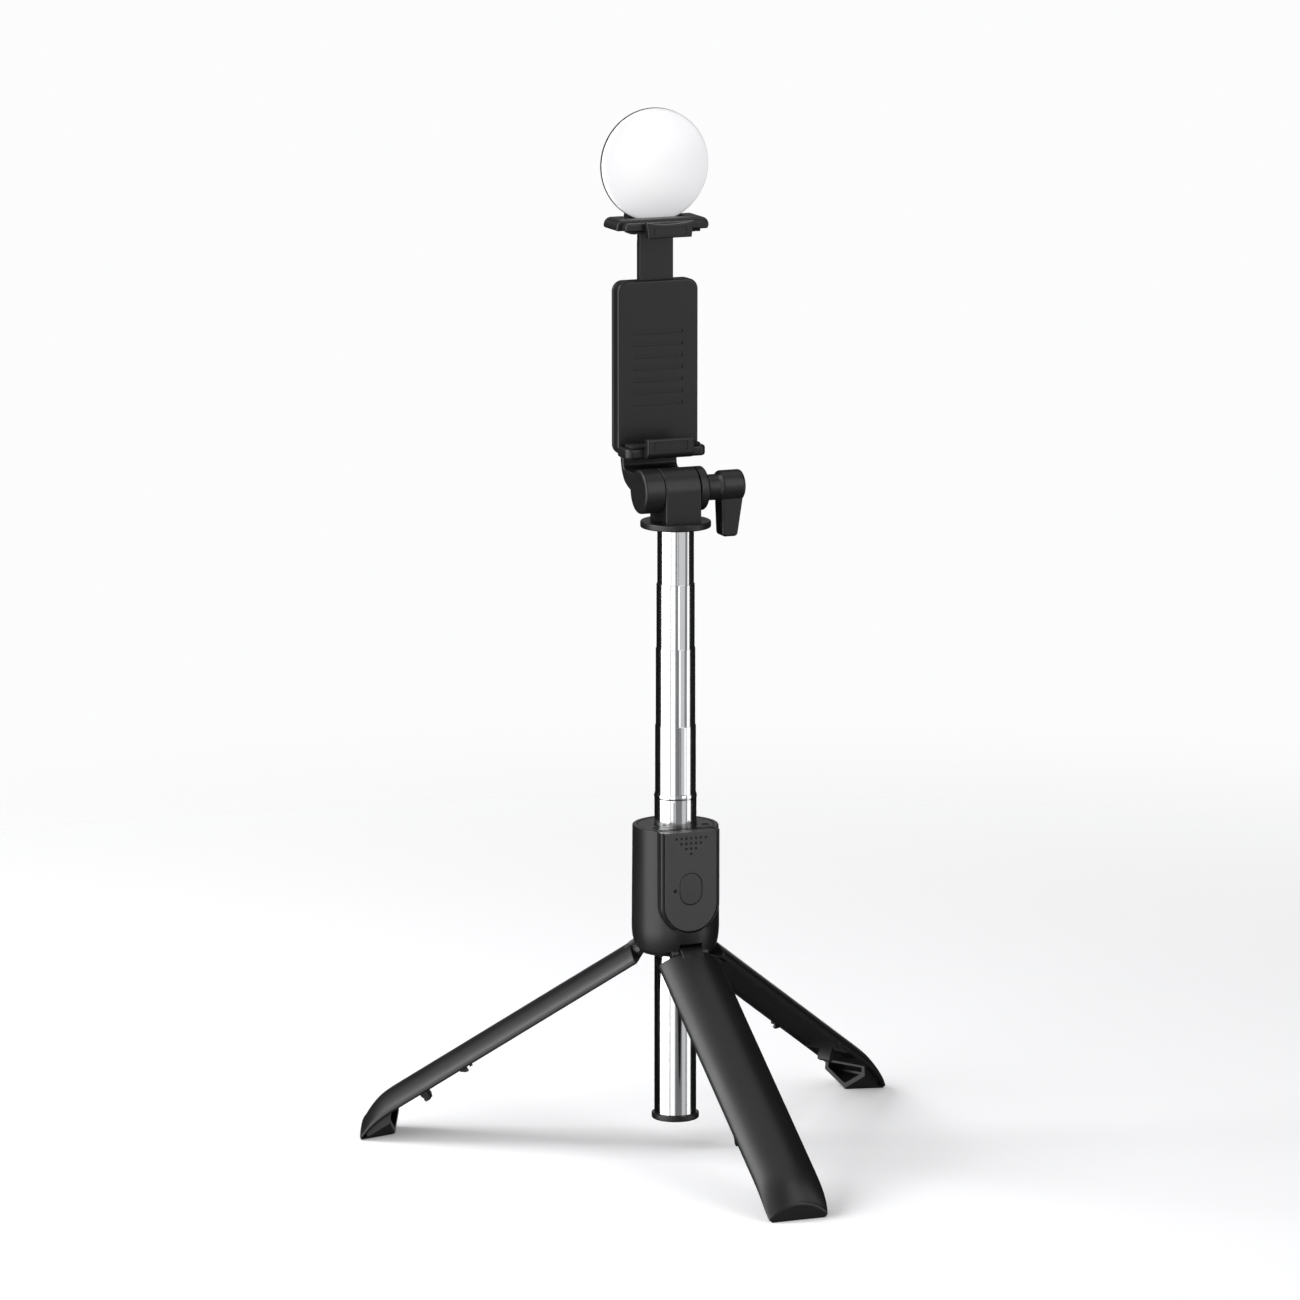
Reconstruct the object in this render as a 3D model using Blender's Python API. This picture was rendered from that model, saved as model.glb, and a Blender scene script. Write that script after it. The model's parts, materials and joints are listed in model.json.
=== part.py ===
"""A pocket selfie stick on three folding legs: keyed chrome pole, phone clamp, fill light, remote.

Every length below is in millimetres, in the stand frame: X to the right, Y to the back,
Z up, with the pole on the Z axis and the floor at Z = 0. The stand empty then moves the whole
object so that its footprint is centred on the origin.
"""
import math

import bmesh
import bpy
from mathutils import Matrix, Vector

MM = 0.001
FIT = 0.08  # running clearance on a radius
WELD = 2e-7  # metres: corners closer than this after a cut become one
POLE_Y = 22.0  # the pole stands this far behind the centre of the footprint

# ---- legs -------------------------------------------------------------------------------
LEG_AZIMUTHS = (-90.0, 30.0, 150.0)
LEG_SPREAD = 57.0  # open angle, from straight down
HINGE_RADIUS = 12.0
HINGE_Z = 68.6
PIN_RADIUS = 0.95
CROWN_RADIUS = 14.6
CROWN_HALF_ANGLE = 49.0
LEG_WALL = 1.5
LEG_START = 2.7
LEG_END = 116.2
LEG_EDGE = 8.4 - HINGE_RADIUS  # the open edge of the channel, in leg coordinates
FOOT_START = 99.5
FOOT_HALF_WIDTH = 10.2
TONGUE_HALF_WIDTH = 3.8

# ---- hub --------------------------------------------------------------------------------
HUB_BOTTOM = 67.4
HUB_TOP = 110.6
HUB_RADIUS_TOP = 14.45
HUB_RADIUS_BOTTOM = 14.7
HUB_EDGE_ROUND = 4.0
HUB_BORE = 8.5
NOTCH_HALF_WIDTH = 4.05
NOTCH_TOP = 72.3
EAR_RADIUS = 2.0
EAR_HALF_SPAN = 6.6
SCREW_X = 9.0
SCREW_Y = -4.5

# ---- remote -----------------------------------------------------------------------------
REMOTE_HALF_WIDTH = 9.3
REMOTE_ROUND_Z = 85.7
REMOTE_TOP = 110.4
REMOTE_FRONT = -13.85
REMOTE_SPLIT = -11.7
REMOTE_BACK = -9.8
REMOTE_WALL = 0.8
BAY_CLEARANCE = 0.2
BOSS_WALL = 1.3
BOSS_FRONT = -13.7
BUTTON_Z = 91.0
BUTTON_HALF_WIDTH = 3.85
BUTTON_HALF_HEIGHT = 5.3

# ---- pole: each tube's outer radius, top and length, from the outermost inwards ----------
TUBE_WALL = 0.15
TUBE_STEP = 0.225  # wall and running gap together
OUTER_TUBE_RADIUS = 7.1
OUTER_TUBE_BOTTOM = 11.6
OUTER_TUBE_TOP = 121.3
BEAD_Z = 120.4
BEAD_HEIGHT = 0.125
STAGES = (
    ("4", 6.875, 144.5, 104.0),
    ("3", 6.65, 170.7, 100.0),
    ("2", 6.425, 192.4, 96.0),
    ("1", 6.15, 211.2, 92.0),
)
KEYWAY_DEPTH = 0.45
KEYWAY_HALF_WIDTH = 1.2
PLUG_HEIGHT = 3.0

# ---- head and clamp -----------------------------------------------------------------------
FLANGE_RADIUS = 11.8
FLANGE_BOTTOM = 211.4
FLANGE_TOP = 213.6
TILT_Z = 223.9
BLOCK_HALF_WIDTH = 6.3
BLOCK_ROUND = 7.4
BOLT_RADIUS = 2.0
PIVOT_Z = 254.0
ARM_HALF_WIDTH = 8.5
ARM_FRONT = 21.9
ARM_BACK = 24.6
CLAMP_HALF_WIDTH = 14.4
CLAMP_BOTTOM = 233.3
CLAMP_TOP = 292.0
PLATE_FRONT = 15.5
PLATE_BACK = 20.0
COVER_BACK = 21.5
CHANNEL_HALF_WIDTH = 10.5
SEAT_Z = 237.8
JAW_SEAT_Z = 308.7
JAW_TOP = 313.0
JAW_HALF_WIDTH = 16.5
LIP_HALF_WIDTH = 8.3

# ---- fill light -----------------------------------------------------------------------------
LIGHT_Z = 330.2
LIGHT_RADIUS = 18.9
LIGHT_SPLIT = 18.4
LIGHT_BACK = 20.75
LIGHT_FRONT = 16.25
LIGHT_PIN_Y = 21.7
LIGHT_PIN_Z = 311.4
CHIN_HALF_WIDTH = 9.5


# ---- helpers ----------------------------------------------------------------------------------
def material(name, colour, roughness, metallic=0.0):
    shade = bpy.data.materials.new(name)
    shade.use_nodes = True
    shader = shade.node_tree.nodes["Principled BSDF"]
    shader.inputs["Base Color"].default_value = (*colour, 1.0)
    shader.inputs["Roughness"].default_value = roughness
    shader.inputs["Metallic"].default_value = metallic
    return shade


def arc(centre, radius, start, end, steps):
    """Points on an arc, both ends included, angles in degrees."""
    angles = [math.radians(start + (end - start) * i / steps) for i in range(steps + 1)]
    return [(centre[0] + radius * math.cos(a), centre[1] + radius * math.sin(a)) for a in angles]


def circle(centre, radius, steps):
    return arc(centre, radius, 0.0, 360.0, steps)[:-1]


def box_outline(low_u, low_v, high_u, high_v):
    return [(low_u, low_v), (high_u, low_v), (high_u, high_v), (low_u, high_v)]


def rounded_box(low_u, low_v, high_u, high_v, radius, steps=5):
    return (
        arc((low_u + radius, low_v + radius), radius, 180, 270, steps)
        + arc((high_u - radius, low_v + radius), radius, 270, 360, steps)
        + arc((high_u - radius, high_v - radius), radius, 0, 90, steps)
        + arc((low_u + radius, high_v - radius), radius, 90, 180, steps)
    )


def solid(name, rings, closed=False):
    """A closed mesh from rings of points; a ring of one point is a pole. Open stacks get end caps."""
    bm = bmesh.new()
    loops = [[bm.verts.new(Vector(point) * MM) for point in ring] for ring in rings]
    pairs = list(zip(loops, loops[1:]))
    if closed:
        pairs.append((loops[-1], loops[0]))
    for lower, upper in pairs:
        count = max(len(lower), len(upper))
        if count == 1:
            continue
        for i in range(count):
            j = (i + 1) % count
            corners = [lower[i % len(lower)], lower[j % len(lower)]]
            corners += [upper[j % len(upper)], upper[i % len(upper)]]
            bm.faces.new(list(dict.fromkeys(corners)))
    if not closed:
        for loop in (loops[0], loops[-1]):
            if len(loop) > 2:
                bm.faces.new(loop)
    bmesh.ops.recalc_face_normals(bm, faces=bm.faces)
    mesh = bpy.data.meshes.new(name)
    bm.to_mesh(mesh)
    bm.free()
    shape = bpy.data.objects.new(name, mesh)
    bpy.context.scene.collection.objects.link(shape)
    return shape


def on_axis(axis, along, u, v):
    """A point from its place along an axis and the other two coordinates, in X, Y, Z order."""
    return {"X": (along, u, v), "Y": (u, along, v), "Z": (u, v, along)}[axis]


def prism(outline, axis, low, high, name="shape"):
    """A straight prism with the outline as its cross-section."""
    rings = [[on_axis(axis, along, u, v) for u, v in outline] for along in (low, high)]
    return solid(name, rings)


def turned(profile, axis, centre, steps=48, name="shape"):
    """A solid of revolution from a closed outline of (radius, place along the axis) points."""
    rings = []
    for radius, along in profile:
        if radius == 0.0:
            rings.append([on_axis(axis, along, *centre)])
        else:
            rings.append([on_axis(axis, along, u, v) for u, v in circle(centre, radius, steps)])
    on_both_ends = profile[0][0] == 0.0 and profile[-1][0] == 0.0
    return solid(name, rings, closed=not on_both_ends)


def rod(radius, axis, centre, low, high, steps=16):
    return prism(circle(centre, radius, steps), axis, low, high)


def ring(inner, outer, axis, centre, low, high, steps=48):
    return turned([(inner, low), (outer, low), (outer, high), (inner, high)], axis, centre, steps)


def combine(body, tool, operation):
    """Boolean of two shapes; the tool is used up."""
    step = body.modifiers.new("combine", "BOOLEAN")
    step.operation = operation
    step.object = tool
    bpy.context.view_layer.update()
    evaluated = body.evaluated_get(bpy.context.evaluated_depsgraph_get())
    result = bpy.data.meshes.new_from_object(evaluated)
    weld = bmesh.new()
    weld.from_mesh(result)
    bmesh.ops.remove_doubles(weld, verts=weld.verts, dist=WELD)
    weld.to_mesh(result)
    weld.free()
    body.modifiers.clear()
    body.data = result
    bpy.data.objects.remove(tool)


def fuse(body, *additions):
    for addition in additions:
        combine(body, addition, "UNION")
    return body


def carve(body, *cutters):
    for cutter in cutters:
        combine(body, cutter, "DIFFERENCE")
    return body


def keep(body, *limits):
    for limit in limits:
        combine(body, limit, "INTERSECT")
    return body


def pivot(name, place, parent=None, turn=None):
    """An empty on a joint's axis. place is in the stand frame."""
    empty = bpy.data.objects.new(name, None)
    bpy.context.scene.collection.objects.link(empty)
    empty["place"] = place
    empty.parent = parent
    above = Vector(parent["place"]) if parent else Vector((0.0, 0.0, 0.0))
    empty.location = (Vector(place) - above) * MM
    if turn:
        empty.rotation_euler = turn.to_euler()
    return empty


def piece(name, shape, shade, joint, local=False):
    """Names a shape, gives it a material and hangs it on its joint's empty."""
    if not local:
        shape.data.transform(Matrix.Translation(Vector(joint["place"]) * -MM))
    shape.name = name
    shape.data.name = name
    shape.data.materials.clear()
    shape.data.materials.append(shade)
    shape.data.shade_smooth()
    shape.data.set_sharp_from_angle(angle=math.radians(35.0))
    shape.parent = joint
    return shape


def keyed_outline(radius, key_half_width, steps=44):
    """A circle with a rectangular keyway in its front (-Y) side, as cross-section of a stage."""
    edge = math.degrees(math.asin(key_half_width / radius))
    floor = -(radius - KEYWAY_DEPTH)
    return arc((0, 0), radius, -90 + edge, 270 - edge, steps) + [
        (-key_half_width, floor),
        (key_half_width, floor),
    ]


# ---- hub --------------------------------------------------------------------------------------
def u_outline(half_width, top):
    """The remote's outline seen from the front: straight sides and a round bottom."""
    bottom = arc((0, REMOTE_ROUND_Z), half_width, 180, 360, 20)
    return bottom + [(half_width, top), (-half_width, top)]


def spoke(azimuth, shape):
    """Turns a shape made on the +X side of the pole to a leg's azimuth."""
    shape.data.transform(Matrix.Rotation(math.radians(azimuth), 4, "Z"))
    return shape


def hub_shell():
    edge = arc(
        (HUB_RADIUS_BOTTOM - HUB_EDGE_ROUND, HUB_BOTTOM + HUB_EDGE_ROUND), HUB_EDGE_ROUND, -90, 0, 6
    )
    profile = edge + [
        (HUB_RADIUS_TOP, HUB_TOP - 0.5),
        (HUB_RADIUS_TOP - 0.5, HUB_TOP),
        (12.9, HUB_TOP),
        (12.9, 108.9),
        (12.7, 108.9),
        (12.7, 75.0),
        (10.0, 75.0),
        (10.0, 108.9),
        (HUB_BORE - 0.2, 108.9),
        (HUB_BORE - 0.2, 76.3),
        (7.7, 76.3),
        (7.7, HUB_BOTTOM),
    ]
    shell = turned(profile, "Z", (0, 0))
    half = REMOTE_HALF_WIDTH + BOSS_WALL
    boss = prism(u_outline(half, HUB_TOP - 0.06), "Y", BOSS_FRONT, -HUB_BORE + 0.37)
    plan = [(-half - 1, 0), (-half - 1, -12.3), (-half, -12.3), (-half + 0.7, -15), (half - 0.7, -15)]
    plan += [(half, -12.3), (half + 1, -12.3), (half + 1, 0)]
    keep(boss, prism(plan, "Z", 60, 120))
    fuse(shell, boss)
    for side in (-1, 1):
        fuse(shell, rod(1.9, "Z", (side * SCREW_X, SCREW_Y), 74.0, 108.7))
    carve(shell, rod(HUB_BORE, "Z", (0, 0), 75.5, 112, 48))
    bay = REMOTE_HALF_WIDTH + BAY_CLEARANCE
    carve(shell, prism(u_outline(bay, 114), "Y", -20, REMOTE_BACK + 0.3))
    for side in (-1, 1):
        carve(shell, rod(0.8, "Z", (side * SCREW_X, SCREW_Y), 103.0, 109.5, 12))
    for azimuth in LEG_AZIMUTHS:
        ear = rod(EAR_RADIUS, "Y", (HINGE_RADIUS, HINGE_Z), -EAR_HALF_SPAN, EAR_HALF_SPAN)
        fuse(shell, spoke(azimuth, ear))
        notch = prism(
            box_outline(-NOTCH_HALF_WIDTH, 60.0, NOTCH_HALF_WIDTH, NOTCH_TOP), "X", 9.3, 20.0
        )
        carve(shell, spoke(azimuth, notch))
        hole = rod(PIN_RADIUS + FIT, "Y", (HINGE_RADIUS, HINGE_Z), -8.0, 8.0)
        carve(shell, spoke(azimuth, hole))
    return shell


def hub_top_plate():
    plate = ring(7.18, 12.75, "Z", (0, 0), 109.1, HUB_TOP - 0.05)
    carve(plate, prism(box_outline(-10.9, -20, 10.9, -8.0), "Z", 100, 120))
    for side in (-1, 1):
        carve(plate, rod(1.25, "Z", (side * SCREW_X, SCREW_Y), 100, 120))
    return plate


def hub_screw(side):
    centre = (side * SCREW_X, SCREW_Y)
    profile = [(0.0, 104.0), (0.7, 104.0), (0.7, 109.2), (1.15, 109.2), (1.15, 110.4), (0.0, 110.4)]
    screw = turned(profile, "Z", centre, 16)
    for turn in (0, 90):
        slot = prism(box_outline(-0.8, -0.17, 0.8, 0.17), "Z", 109.9, 111.0)
        slot.data.transform(Matrix.Rotation(math.radians(turn), 4, "Z"))
        slot.data.transform(Matrix.Translation(Vector((*centre, 0)) * MM))
        carve(screw, slot)
    return screw


def build_hub(stand, shades):
    piece("hub_shell", hub_shell(), shades["black_plastic"], stand)
    piece("hub_top_plate", hub_top_plate(), shades["black_plastic"], stand)
    for side, word in ((-1, "left"), (1, "right")):
        piece(f"hub_screw_{word}", hub_screw(side), shades["dark_steel"], stand)
    sleeve = ring(OUTER_TUBE_RADIUS + FIT, 8.35, "Z", (0, 0), 76.0, 108.8)
    piece("pole_sleeve", sleeve, shades["nylon"], stand)
    for number, azimuth in enumerate(LEG_AZIMUTHS, 1):
        pin = rod(PIN_RADIUS, "Y", (HINGE_RADIUS, HINGE_Z), -6.4, 6.4)
        piece(f"leg_pin_{number}", spoke(azimuth, pin), shades["dark_steel"], stand)


# ---- legs: x along the leg, y across it, z away from the pole when folded ------------------------
def channel_section(radius, half_angle, depth):
    """Crown arc about the pole axis with straight flanks down to the open edge."""
    crown = arc((0, -HINGE_RADIUS), radius, 90 - half_angle, 90 + half_angle, 14)
    return crown + [(crown[-1][0], depth), (crown[0][0], depth)]


def floor_height(along):
    """Where the floor lies in leg coordinates when the leg is open."""
    spread = math.radians(LEG_SPREAD)
    return (along * math.cos(spread) - HINGE_Z) / math.sin(spread)


def leg_shell():
    shell = prism(channel_section(CROWN_RADIUS, CROWN_HALF_ANGLE, LEG_EDGE), "X", LEG_START, 118.0)
    side = [(1.0, -5.0), (1.0, 0.9), (LEG_START + 0.9, 2.8), (99.0, 2.8), (105.0, 2.2), (111.0, 0.9)]
    side += [(114.2, -0.6), (115.6, -2.3), (116.0, -3.4), (116.0, -5.0)]
    keep(shell, prism(side, "Y", -12.0, 12.0))
    inner_radius = CROWN_RADIUS - LEG_WALL
    for start, end in ((4.2, 33.0), (34.0, 66.0), (67.0, 90.0), (91.2, 97.5)):
        carve(shell, prism(channel_section(inner_radius, 46.6, -6.0), "X", start, end))
    knuckle = arc((0, 0), 2.2, 60, 270, 14) + [(14.0, -2.2), (14.0, 0.9)]
    fuse(shell, prism(knuckle, "Y", -TONGUE_HALF_WIDTH, TONGUE_HALF_WIDTH))
    carve(shell, rod(PIN_RADIUS + FIT, "Y", (0, 0), -5.0, 5.0))
    for side_sign in (-1, 1):
        for along in (73.1, 75.9):
            inner, outer = sorted((side_sign * 9.9, side_sign * 10.9))
            tooth = prism(box_outline(inner, -5.1, outer, -3.0), "X", along - 0.6, along + 0.6)
            fuse(shell, tooth)
    hook = [(90.2, -3.0), (90.2, -7.6), (93.2, -7.6), (93.2, -6.6), (91.2, -6.6), (91.2, -3.0)]
    fuse(shell, prism(hook, "Y", -2.6, 2.6))
    return shell


def foot_pad():
    """The 120 degree wedge under the leg's end, cut flat by the floor."""
    apex = 0.35 - HINGE_RADIUS
    corner = apex + FOOT_HALF_WIDTH / math.tan(math.radians(60.0))
    section = [(0, apex), (FOOT_HALF_WIDTH, corner), (FOOT_HALF_WIDTH, LEG_EDGE - 0.2)]
    section += [(-FOOT_HALF_WIDTH, LEG_EDGE - 0.2), (-FOOT_HALF_WIDTH, corner)]
    pad = prism(section, "X", FOOT_START - 2, LEG_END + 2)
    side = [(FOOT_START, 0.0), (FOOT_START, -6.0), (FOOT_START + 2.5, -14.0)]
    side += [(105.0, floor_height(105.0)), (LEG_END, floor_height(LEG_END)), (116.1, -4.6), (116.0, 0.0)]
    return keep(pad, prism(side, "Y", -12.0, 12.0))


def build_legs(stand, shades):
    spread = math.radians(LEG_SPREAD)
    along = Vector((math.sin(spread), 0.0, -math.cos(spread)))
    outward = Vector((math.cos(spread), 0.0, math.sin(spread)))
    open_leg = Matrix((along, Vector((0, 1, 0)), outward)).transposed()
    shell = leg_shell()
    pad = foot_pad()
    for number, azimuth in enumerate(LEG_AZIMUTHS, 1):
        plan = Matrix.Rotation(math.radians(azimuth), 3, "Z")
        place = plan @ Vector((HINGE_RADIUS, 0.0, 0.0))
        hinge = pivot(f"leg_{number}_hinge", (place.x, place.y, HINGE_Z), stand, plan @ open_leg)
        for name, first, shade in (("leg_shell", shell, "black_plastic"), ("foot_pad", pad, "rubber")):
            copy = bpy.data.objects.new(name, first.data.copy())
            bpy.context.scene.collection.objects.link(copy)
            piece(f"{name}_{number}", copy, shades[shade], hinge, local=True)
    bpy.data.objects.remove(shell)
    bpy.data.objects.remove(pad)


# ---- remote ---------------------------------------------------------------------------------------
def stadium(half_width, half_height, centre, steps=8):
    """An upright rounded slot outline."""
    rise = half_height - half_width
    top = arc((centre[0], centre[1] + rise), half_width, 0, 180, steps)
    return top + arc((centre[0], centre[1] - rise), half_width, 180, 360, steps)


def build_remote(stand, shades):
    remote = pivot("remote_slide", (0, REMOTE_FRONT, REMOTE_TOP), stand)
    button = pivot("shutter_press", (0, REMOTE_FRONT, BUTTON_Z), remote)
    inside = REMOTE_HALF_WIDTH - REMOTE_WALL
    front = prism(u_outline(REMOTE_HALF_WIDTH, REMOTE_TOP), "Y", REMOTE_FRONT, REMOTE_SPLIT)
    carve(front, prism(u_outline(inside, REMOTE_TOP - REMOTE_WALL), "Y", REMOTE_FRONT + 0.8, -11.0))
    hole = stadium(BUTTON_HALF_WIDTH + 0.15, BUTTON_HALF_HEIGHT + 0.15, (0, BUTTON_Z))
    carve(front, prism(hole, "Y", -15.0, -12.0))
    carve(front, rod(0.6, "Y", (-5.7, 90.7), -15.0, -12.0, 12))
    piece("remote_front_shell", front, shades["black_plastic"], remote)
    rear = prism(u_outline(REMOTE_HALF_WIDTH, REMOTE_TOP), "Y", REMOTE_SPLIT + 0.05, REMOTE_BACK)
    carve(rear, prism(u_outline(inside, REMOTE_TOP - REMOTE_WALL), "Y", -12.5, REMOTE_BACK - 0.6))
    piece("remote_rear_shell", rear, shades["black_plastic"], remote)
    mat = prism(stadium(5.0, 6.5, (0, BUTTON_Z)), "Y", -12.52, -12.3)
    piece("remote_dome_mat", mat, shades["rubber"], remote)
    board = prism(u_outline(inside - 0.2, 109.0), "Y", -12.25, -11.75)
    piece("remote_circuit_board", board, shades["circuit_board"], remote)
    cell = rod(8.0, "Y", (0, 86.0), -11.65, -10.45, 32)
    piece("remote_coin_cell", cell, shades["cell_steel"], remote)
    piece("remote_led_window", rod(0.5, "Y", (-5.7, 90.7), -13.8, -12.6, 12), shades["amber"], remote)
    outline = stadium(BUTTON_HALF_WIDTH, BUTTON_HALF_HEIGHT, (0, BUTTON_Z))
    cap = prism(outline, "Y", REMOTE_FRONT - 0.1, -13.0)
    piece("shutter_button", cap, shades["button_plastic"], button)


# ---- pole -------------------------------------------------------------------------------------------
def outer_tube():
    radius = OUTER_TUBE_RADIUS
    bead = radius + BEAD_HEIGHT
    profile = [
        (radius - TUBE_WALL, OUTER_TUBE_BOTTOM),
        (radius, OUTER_TUBE_BOTTOM),
        (radius, BEAD_Z - 0.7),
        (bead, BEAD_Z - 0.3),
        (bead, BEAD_Z + 0.3),
        (radius, BEAD_Z + 0.7),
        (radius, OUTER_TUBE_TOP),
        (radius - TUBE_WALL, OUTER_TUBE_TOP),
    ]
    return turned(profile, "Z", (0, 0), 48)


def stage_tube(index):
    _, radius, top, length = STAGES[index]
    key = KEYWAY_HALF_WIDTH + TUBE_STEP * index
    outline = keyed_outline(radius, key)
    bore = keyed_outline(radius - TUBE_WALL, key + TUBE_WALL)
    low, high = top - length, top
    rings = [[(x, y, low) for x, y in bore], [(x, y, low) for x, y in outline]]
    rings += [[(x, y, high) for x, y in outline], [(x, y, high) for x, y in bore]]
    return solid("stage", rings, closed=True)


def stage_plug(index, low, high):
    """A keyed plastic plug inside a stage tube."""
    radius = STAGES[index][1] - TUBE_WALL - 0.05
    key = KEYWAY_HALF_WIDTH + TUBE_STEP * index + TUBE_WALL + 0.05
    return prism(keyed_outline(radius, key), "Z", low, high)


def build_pole(stand, shades):
    above = pivot("pole_slide", (0, 0, OUTER_TUBE_BOTTOM), stand)
    piece("outer_tube", outer_tube(), shades["chrome"], above)
    cap = [(0.0, 9.5), (7.6, 9.5), (8.0, 9.9), (8.0, 11.5), (6.85, 11.5), (6.85, 16.0), (0.0, 16.0)]
    piece("pole_end_cap", turned(cap, "Z", (0, 0)), shades["black_plastic"], above)
    for index, (number, _, top, length) in enumerate(STAGES):
        above = pivot(f"stage_{number}_slide", (0, 0, top), above)
        piece(f"stage_{number}_tube", stage_tube(index), shades["chrome"], above)
        low = top - length
        plug = stage_plug(index, low, low + PLUG_HEIGHT)
        piece(f"stage_{number}_plug", plug, shades["nylon"], above)
    head_plug = stage_plug(3, 203.0, 211.0)
    carve(head_plug, rod(2.1, "Z", (0, 0), 200, 220))
    piece("head_plug", head_plug, shades["nylon"], above)
    return above


# ---- head ---------------------------------------------------------------------------------------------
def head_base():
    edge = [(0.0, FLANGE_BOTTOM), (11.4, FLANGE_BOTTOM), (FLANGE_RADIUS, FLANGE_BOTTOM + 0.4)]
    edge += [(FLANGE_RADIUS, FLANGE_TOP - 0.4), (11.4, FLANGE_TOP), (0.0, FLANGE_TOP)]
    base = turned(edge, "Z", (0, 0))
    side = arc((0, TILT_Z), BLOCK_ROUND, 0, 180, 14) + [(-BLOCK_ROUND, 212.5), (BLOCK_ROUND, 212.5)]
    fuse(base, prism(side, "X", -BLOCK_HALF_WIDTH, BLOCK_HALF_WIDTH))
    carve(base, rod(BOLT_RADIUS + FIT, "X", (0, TILT_Z), -10, 10))
    carve(base, rod(2.1, "Z", (0, 0), 205, 217.2))
    return base


def tilt_bracket():
    """Two ears round the block, a web behind it and an arm up the back of the clamp."""
    ear = arc((0, TILT_Z), 7.2, 36.0, 310.0, 22)
    belly = [(15.9, -1.9), (18.8, -0.9), (20.9, 0.3), (22.5, 2.3), (23.9, 5.6), (ARM_BACK, 9.5)]
    outline = ear + [(y, TILT_Z + z) for y, z in belly]
    outline += [(ARM_BACK, 275.0), (ARM_FRONT, 275.0), (ARM_FRONT, TILT_Z + 5.7), (20.6, TILT_Z + 4.2)]
    bracket = prism(outline, "X", -10.2, 9.5)
    front = [(-11, 200), (11, 200), (11, TILT_Z + 9), (ARM_HALF_WIDTH, TILT_Z + 14)]
    front += arc((0, PIVOT_Z), ARM_HALF_WIDTH, 0, 180, 16)
    front += [(-ARM_HALF_WIDTH, TILT_Z + 14), (-11, TILT_Z + 9)]
    keep(bracket, prism(front, "Y", -20, 40))
    slot = prism(box_outline(-20.0, 200.0, 10.5, 260.0), "X", -6.6, 6.6)
    carve(bracket, slot)
    edge = [(0.0, -13.5), (6.6, -13.5), (7.4, -12.7), (7.4, -6.62), (0.0, -6.62)]
    fuse(bracket, turned(edge, "X", (0, TILT_Z), 32))
    carve(bracket, rod(BOLT_RADIUS + FIT, "X", (0, TILT_Z), -11.2, 12.0))
    carve(bracket, rod(4.0, "Y", (0, PIVOT_Z), 15.0, 30.0, 32))
    return bracket


def tilt_knob():
    """A wing knob: round neck, flat head, and a lever that hangs down."""
    z = TILT_Z
    front = [(14.9, z + 4.9), (15.5, z + 5.5), (22.4, z + 5.5), (23.4, z + 4.5), (23.3, z - 2.0)]
    front += [(21.3, z - 15.2), (20.2, z - 16.6), (17.2, z - 16.6), (15.9, z - 15.4), (14.9, z - 7.0)]
    knob = prism(front, "Y", -8, 8)
    side = arc((0, z + 0.4), 4.4, 20, 160, 10) + [(-4.2, z - 5)]
    side += arc((0, z - 13.6), 3.1, 190, 350, 10) + [(4.2, z - 5)]
    keep(knob, prism(side, "X", 10, 30))
    fuse(knob, rod(4.35, "X", (0, z), 10.5, 16.0, 32))
    carve(knob, rod(3.08, "X", (0, z), 9.0, 18.6))
    return knob


def build_head(stage_1, shades):
    head = pivot("head_swivel", (0, 0, FLANGE_BOTTOM), stage_1)
    tilt = pivot("head_tilt", (0, 0, TILT_Z), head)
    knob = pivot("knob_turn", (12.0, 0, TILT_Z), tilt)
    piece("head_base", head_base(), shades["black_plastic"], head)
    screw = rod(2.0, "Z", (0, 0), 204.0, 217.0)
    piece("head_swivel_screw", screw, shades["dark_steel"], head)
    piece("tilt_bracket", tilt_bracket(), shades["black_plastic"], tilt)
    piece("tilt_bolt", rod(BOLT_RADIUS, "X", (0, TILT_Z), -11.0, 18.0), shades["dark_steel"], tilt)
    washer = ring(BOLT_RADIUS + FIT, 4.2, "X", (0, TILT_Z), 9.7, 10.3, 24)
    piece("knob_washer", washer, shades["nylon"], tilt)
    piece("tilt_knob", tilt_knob(), shades["black_plastic"], knob)
    insert = ring(BOLT_RADIUS + FIT, 3.0, "X", (0, TILT_Z), 10.6, 18.4, 16)
    piece("knob_insert", insert, shades["brass"], knob)
    return tilt


# ---- clamp --------------------------------------------------------------------------------------------
def clamp_body():
    plate = rounded_box(-CLAMP_HALF_WIDTH, CLAMP_BOTTOM, CLAMP_HALF_WIDTH, CLAMP_TOP, 3.5)
    body = prism(plate, "Y", PLATE_FRONT, PLATE_BACK)
    shelf = rounded_box(-CLAMP_HALF_WIDTH + 0.02, 7.5, CLAMP_HALF_WIDTH - 0.02, 17.8, 2.0)
    low, high = CLAMP_BOTTOM + 0.03, SEAT_Z - 0.9
    fuse(body, prism(shelf, "Z", low, high))
    lip = [(14.0, low + 0.2), (6.3, low + 0.2), (4.6, 234.6), (4.0, 236.3), (4.0, 239.9), (4.5, 240.4)]
    lip += [(6.2, 240.4), (6.7, 239.9), (7.1, high - 0.2), (14.0, high - 0.2)]
    fuse(body, prism(lip, "X", -LIP_HALF_WIDTH, LIP_HALF_WIDTH))
    channel = box_outline(-CHANNEL_HALF_WIDTH, 236.4, CHANNEL_HALF_WIDTH, 295.0)
    carve(body, prism(channel, "Y", 16.7, 25.0))
    return body


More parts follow.
